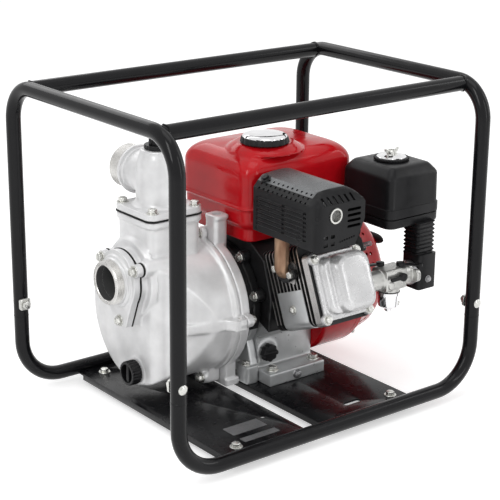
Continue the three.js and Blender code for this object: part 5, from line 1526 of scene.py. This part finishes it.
class FIREPUMP_OT_carburettor(bpy.types.Operator):
    """Cast the carburettor, its bowl and its levers"""
    bl_idname = "fire_pump.carburettor"
    bl_label = "Carburettor"

    def execute(self, context):
        made = finishes()
        low, high = span("carburettor")
        axis_y, axis_z = -110.0, 169.0
        bowl = middle("float_bowl")
        bm = bmesh.new()
        rod(bm, (low.x + 0.3, axis_y, axis_z), (high.x - 0.3, axis_y, axis_z), 14, 56)
        block(bm, (140, 178), (-125.6, -95), (154, 184.6), 4, "x")
        for x in ((low.x + 0.3, low.x + 7), (high.x - 7, high.x - 0.3)):
            block(bm, x, (-133, -87), (160, 178), 7, "x")
            rod(bm, (x[0], axis_y, axis_z), (x[1], axis_y, axis_z), 15.8, 48)
        rod(bm, (bowl.x, axis_y, 150.5), (bowl.x, axis_y, 160), 15, 56)
        rod(bm, (148, -128, 163), (148, -112, 163), 5, 32)
        rod(bm, (172, -126, 173), (172, -110, 173), 6, 32)
        bore = bmesh.new()
        rod(bore, (low.x - 2, axis_y, axis_z), (high.x + 2, axis_y, axis_z), 9.5, 44)
        piece("carburettor_casting", bm, made.carb_alloy, replaces=("carburettor",),
              grain=(0.9, 3), cuts=bore, smooth=50)
        low_b = span("float_bowl")[0]
        bm = bmesh.new()
        lathe(bm, [(4.4, low_b.z), (4.8, low_b.z + 0.6), (4.8, 126), (8, 126.4), (11.5, 127.2), (13.6, 129),
                   (14.2, 133),
                   (14.4, 145), (15.8, 145.6), (15.8, 149.8), (12, 149.8)], (bowl.x, axis_y, 0), (0, 0, 1),
                   72)
        piece("float_bowl_pressing", bm, made.chrome, replaces=("float_bowl",))
        bm = bmesh.new()
        hex_bolt(bm, (bowl.x + 8, axis_y - 7.6, 133), (0.5, -0.8, -0.2), 3.4, 3, 4.4)
        piece("bowl_drain_screw", bm, made.zinc, bevel=0.2)

        def lever(name, pivot, reach, degrees, node, body):
            z0 = span(node)[0].z + 0.4
            angle = math.radians(degrees)
            tip = (pivot[0] + reach * math.cos(angle), pivot[1] + reach * math.sin(angle))
            side = (-math.sin(angle), math.cos(angle))
            outline = [(pivot[0] + side[0] * s * 4.4, pivot[1] + side[1] * s * 4.4) for s in (-1, 1)]
            outline = [outline[0], (tip[0] - side[0] * 3, tip[1] - side[1] * 3),
                       (tip[0] + side[0] * 3, tip[1] + side[1] * 3),
                       outline[1]]
            bm = bmesh.new()
            prism(bm, outline, z0 + 1.6, z0 + 3.4)
            rod(bm, (*pivot, z0), (*pivot, z0 + 5.2), 5.6, 36)
            rod(bm, (*tip, z0 + 1.2), (*tip, z0 + 5.2), 3.6, 28)
            piece(name, bm, made.plastic, body=body, replaces=(node,), bevel=0.3)

        lever("throttle_arm", (149, -102), 31, 165, "throttle_lever", "throttle")
        lever("choke_arm", (171, -118), 27, -50, "choke_lever", "choke")
        low_v, high_v = span("fuel_valve_lever")
        bm = bmesh.new()
        rod(bm, (167, high_v.y - 0.2, 173), (167, low_v.y + 0.3, 173), 5.8, 40)
        block(bm, (143.3, 166), (low_v.y + 0.5, low_v.y + 3), (170.3, 175.7), 2.2, "y")
        piece("fuel_valve_handle", bm, made.plastic, body="fuel_valve",
              replaces=("fuel_valve_lever",), bevel=0.5)
        return {"FINISHED"}


class FIREPUMP_OT_governor(bpy.types.Operator):
    """Fit the control plate over the carburettor with its rods, spring and screws"""
    bl_idname = "fire_pump.governor"
    bl_label = "Control plate and linkage"

    def execute(self, context):
        made = finishes()
        bm = bmesh.new()
        plate = [(106, -84), (138, -84), (146, -76), (146, -52), (106, -52)]
        prism(bm, plate, 205, 207)
        block(bm, (106, 108), (-84, -52), (184, 206))
        piece("control_plate", bm, made.black_cover_and_shade, bevel=0.4)
        bm = bmesh.new()
        sweep(bm, smooth_path([(120, -70, 209), (132, -60, 212), (150, -50, 210), (160, -46, 208)], 10),
              1.2, 12)
        coil = []
        for k in range(181):
            angle = math.tau * k / 12
            coil.append((122 + k * 0.17, -78 + 3.1 * math.cos(angle), 211 + 3.1 * math.sin(angle)))
        sweep(bm, coil, 0.5, 8)
        piece("control_rods", bm, made.steel)
        bm = bmesh.new()
        hex_bolt(bm, (114, -60, 207), (0, 0, 1), 4.6, 3.6, 6.4)
        hex_bolt(bm, (136, -76, 207), (0, 0, 1), 4.2, 3.4, 5.6)
        piece("control_screws", bm, made.zinc, bevel=0.2)
        return {"FINISHED"}


class FIREPUMP_OT_fan_housing(bpy.types.Operator):
    """Spin the fan housing and the starter cover with its vents"""
    bl_idname = "fire_pump.fan_housing"
    bl_label = "Fan housing and starter"

    def execute(self, context):
        made = finishes()
        low, high = span("fan_housing")
        radius = (high.y - low.y) / 2
        at = (low.x, SHAFT_Y, SHAFT_Z)
        length = high.x - low.x
        bm = bmesh.new()
        lathe(bm, [(radius - 3, 0), (radius - 0.4, 0.4), (radius, 1.6), (radius, length - 7),
                   (radius, length - 0.4),
                   (radius - 2.4, length), (radius - 3.6, length), (radius - 3.6, 4), (40, 4), (40, 0)],
              at, (1, 0, 0), 128, closed=True)
        piece("fan_shroud", bm, made.red, replaces=("fan_housing",), smooth=30)

        low, high = span("recoil_cover")
        profile = [(radius - 3.4, 0), (radius, 0), (radius, 8), (radius - 2, 11), (radius - 5, 16),
                   (radius - 10, 36),
                   (radius - 12, 45), (radius - 16, 52), (radius - 24, 57.4), (radius - 34, 59.4),
                   (30, 59.4), (27, 58),
                   (24.5, 54), (4, 53), (4, 50), (26, 50), (29, 56), (radius - 35, 56.4), (radius - 27, 54.6),
                   (radius - 19, 49), (radius - 15, 43), (radius - 13, 35), (radius - 8, 15)]
        bm = bmesh.new()
        lathe(bm, profile, (low.x, SHAFT_Y, SHAFT_Z), (1, 0, 0), 128, closed=True)
        cuts = bmesh.new()
        for k in range(28):
            angle = 360 * k / 28
            y0, z0 = on_shaft(40, angle)
            y1, z1 = on_shaft(66, angle)
            way = Vector((0, y1 - y0, z1 - z0)).normalized()
            side = Vector((1, 0, 0)).cross(way)
            corners = [Vector((low.x + 45, y0, z0)) - side * 1.8, Vector((low.x + 45, y0, z0)) + side * 1.8,
                       Vector((low.x + 45, y1, z1)) + side * 2.6, Vector((low.x + 45, y1, z1)) - side * 2.6]
            loft(cuts, [corners, [c + Vector((20, 0, 0)) for c in corners]])
        for k in range(40):
            angle = 360 * k / 40
            if 60 < angle < 120:
                continue
            y0, z0 = on_shaft(85, angle)
            y1, z1 = on_shaft(radius + 4, angle)
            rod(cuts, (low.x + 20, y0, z0), (low.x + 20, y1, z1), 2.6, 12)
            rod(cuts, (low.x + 30, y0, z0), (low.x + 30, y1, z1), 2.6, 12)
        handle = middle("starter_handle")
        rod(cuts, (low.x + 46, handle.y, handle.z), (high.x + 2, handle.y, handle.z), 4.5, 24)
        piece("starter_shell", bm, made.red, replaces=("recoil_cover",), cuts=cuts, smooth=30)
        bm = bmesh.new()
        for angle in (45, 135, 225, 315):
            hex_bolt(bm, (low.x + 9, *on_shaft(radius - 3.0, angle)), (1, 0, 0), 4.4, 3.4, 3)
        piece("starter_screws", bm, made.zinc, bevel=0.2)
        bm = bmesh.new()
        lathe(bm, [(23, 0), (24, 1), (23, 2.6), (12, 3.2), (1, 3.4)], (low.x + 53.4, SHAFT_Y, SHAFT_Z),
              (1, 0, 0), 72)
        piece("starter_badge_blank", bm, made.satin_plastic)

        low, high = span("starter_handle")
        bm = bmesh.new()
        grip_x = high.x - 6.6
        sections = []
        for k in range(25):
            t = k / 24
            y = low.y + 0.5 + t * (high.y - low.y - 1)
            swell = 1 - 0.9 * (2 * abs(t - 0.5)) ** 7
            waist = 1 - 0.1 * math.cos(math.tau * (t - 0.5) * 1.0)
            a, b = 6.2 * swell * (0.92 + 0.08 * waist), 7.6 * swell
            sections.append([(grip_x + a * math.cos(math.tau * j / 36), y,
                              handle.z + b * math.sin(math.tau * j / 36))
                             for j in range(36)])
        loft(bm, sections)
        rod(bm, (240.5, handle.y, handle.z), (grip_x, handle.y, handle.z), 8.6, 40, 6.5)
        piece("starter_grip", bm, made.rubber, body="handle", replaces=("starter_handle",),
              grain=(0.9, 2))
        bm = bmesh.new()
        rope_path = [(232.6 + (grip_x - 233.6) * k / 40, handle.y, handle.z) for k in range(41)]
        sweep(bm, rope_path, 2.4, 16)
        rope = piece("starter_rope", bm, made.rope, body=None)
        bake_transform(rope)
        return {"FINISHED"}


class FIREPUMP_OT_switch(bpy.types.Operator):
    """Mould the engine stop switch and its knob"""
    bl_idname = "fire_pump.switch"
    bl_label = "Engine switch"

    def execute(self, context):
        made = finishes()
        low, high = span("engine_switch")
        x, z = (low.x + high.x) / 2, (low.z + high.z) / 2
        bm = bmesh.new()
        lathe(bm, [(8.8, 0), (9.6, 0.6), (9.6, 5.4), (8.6, 6.4), (2, 6.8)], (x, high.y - 0.2, z),
              (0, -1, 0), 56)
        block(bm, (x - 8.6, x + 8.6), (low.y + 0.3, high.y - 6), (z - 2.3, z + 2.3), 1.8, "y")
        piece("stop_switch", bm, made.switch_red, body="switch", replaces=("engine_switch",),
              bevel=0.5)
        return {"FINISHED"}


class FIREPUMP_OT_turning_parts(bpy.types.Operator):
    """Turn the flywheel and give the shaft, starter cup, reel and other hidden pieces their finishes"""
    bl_idname = "fire_pump.turning_parts"
    bl_label = "Shaft, flywheel and hidden pieces"

    def execute(self, context):
        made = finishes()
        low, high = span("flywheel")
        radius = (high.z - low.z) / 2
        bm = bmesh.new()
        lathe(bm, [(radius * 0.62, 0), (radius * 0.9, 1), (radius * 0.9, 12), (radius * 0.62, 13)],
              (low.x + 1, SHAFT_Y, SHAFT_Z),
              (1, 0, 0), 96)
        rod(bm, (low.x + 4, SHAFT_Y, SHAFT_Z), (high.x - 0.4, SHAFT_Y, SHAFT_Z), 22, 48)
        for k in range(20):
            angle = 360 * k / 20
            spine = [(low.x + 12, *on_shaft(radius * (0.5 + 0.48 * t), angle + 14 * t)) for t in (0, 0.25,
                0.5, 0.75, 1)]
            rings = []
            for point in spine:
                centre = Vector(point)
                rings.append([centre + Vector((0, 0, -1.0)), centre + Vector((0, 0, 1.0)),
                              centre + Vector((high.x - low.x - 13, 0, 1.0)),
                              centre + Vector((high.x - low.x - 13, 0, -1.0))])
            loft(bm, rings)
        hole = bmesh.new()
        rod(hole, (low.x - 4, SHAFT_Y, SHAFT_Z), (high.x + 4, SHAFT_Y, SHAFT_Z), 12.6, 40)
        piece("flywheel_fan", bm, made.steel, body="crank", replaces=("flywheel",),
              cuts=hole)
        kept = {
            "crankshaft": made.steel, "impeller": made.pump_alloy, "starter_cup": made.steel,
            "starter_reel": made.satin_plastic,
            "volute": made.pump_alloy, "bearing_pump_side": made.steel, "bearing_fan_side": made.steel,
            "mechanical_seal": made.steel, "ignition_coil": made.satin_plastic,
        }
        for obj in bpy.context.scene.objects:
            node = obj.name.split(".")[0]
            if node in kept and obj.type == "MESH":
                obj.data.materials.clear()
                obj.data.materials.append(kept[node])
        return {"FINISHED"}


# ------------------------------------------------------------------ panel, registration and build
STEPS = (
    FIREPUMP_OT_frame, FIREPUMP_OT_frame_bolts, FIREPUMP_OT_base, FIREPUMP_OT_pump_casing,
    FIREPUMP_OT_back_plate,
    FIREPUMP_OT_suction, FIREPUMP_OT_discharge, FIREPUMP_OT_drain, FIREPUMP_OT_crankcase,
    FIREPUMP_OT_crankcase_cover,
    FIREPUMP_OT_cylinder, FIREPUMP_OT_shroud, FIREPUMP_OT_exhaust, FIREPUMP_OT_tank, FIREPUMP_OT_air_filter,
    FIREPUMP_OT_carburettor, FIREPUMP_OT_governor, FIREPUMP_OT_fan_housing, FIREPUMP_OT_switch,
    FIREPUMP_OT_turning_parts, FIREPUMP_OT_stage,
)


class FIREPUMP_PT_panel(bpy.types.Panel):
    """The pump's colours, detail sizes and build steps"""
    bl_idname = "FIREPUMP_PT_panel"
    bl_label = "Fire Pump"
    bl_space_type = "VIEW_3D"
    bl_region_type = "UI"
    bl_category = "Fire Pump"

    def draw(self, context):
        layout = self.layout
        for group in (context.scene.fire_pump_colors, context.scene.fire_pump_sizes):
            box = layout.box()
            for name in group.__annotations__:
                box.prop(group, name)
        column = layout.column(align=True)
        for step in STEPS:
            column.operator(step.bl_idname)


CLASSES = (FIREPUMP_PG_colors, FIREPUMP_PG_sizes, *STEPS, FIREPUMP_PT_panel)


def register():
    for cls in CLASSES:
        bpy.utils.register_class(cls)
    bpy.types.Scene.fire_pump_colors = bpy.props.PointerProperty(type=FIREPUMP_PG_colors)
    bpy.types.Scene.fire_pump_sizes = bpy.props.PointerProperty(type=FIREPUMP_PG_sizes)


def unregister():
    del bpy.types.Scene.fire_pump_sizes
    del bpy.types.Scene.fire_pump_colors
    for cls in reversed(CLASSES):
        bpy.utils.unregister_class(cls)


def main():
    register()
    MADE["finishes"] = Finishes(bpy.context.scene.fire_pump_colors)
    for step in STEPS:
        group, name = step.bl_idname.split(".")
        getattr(getattr(bpy.ops, group), name)()


if __name__ == "__main__":
    main()
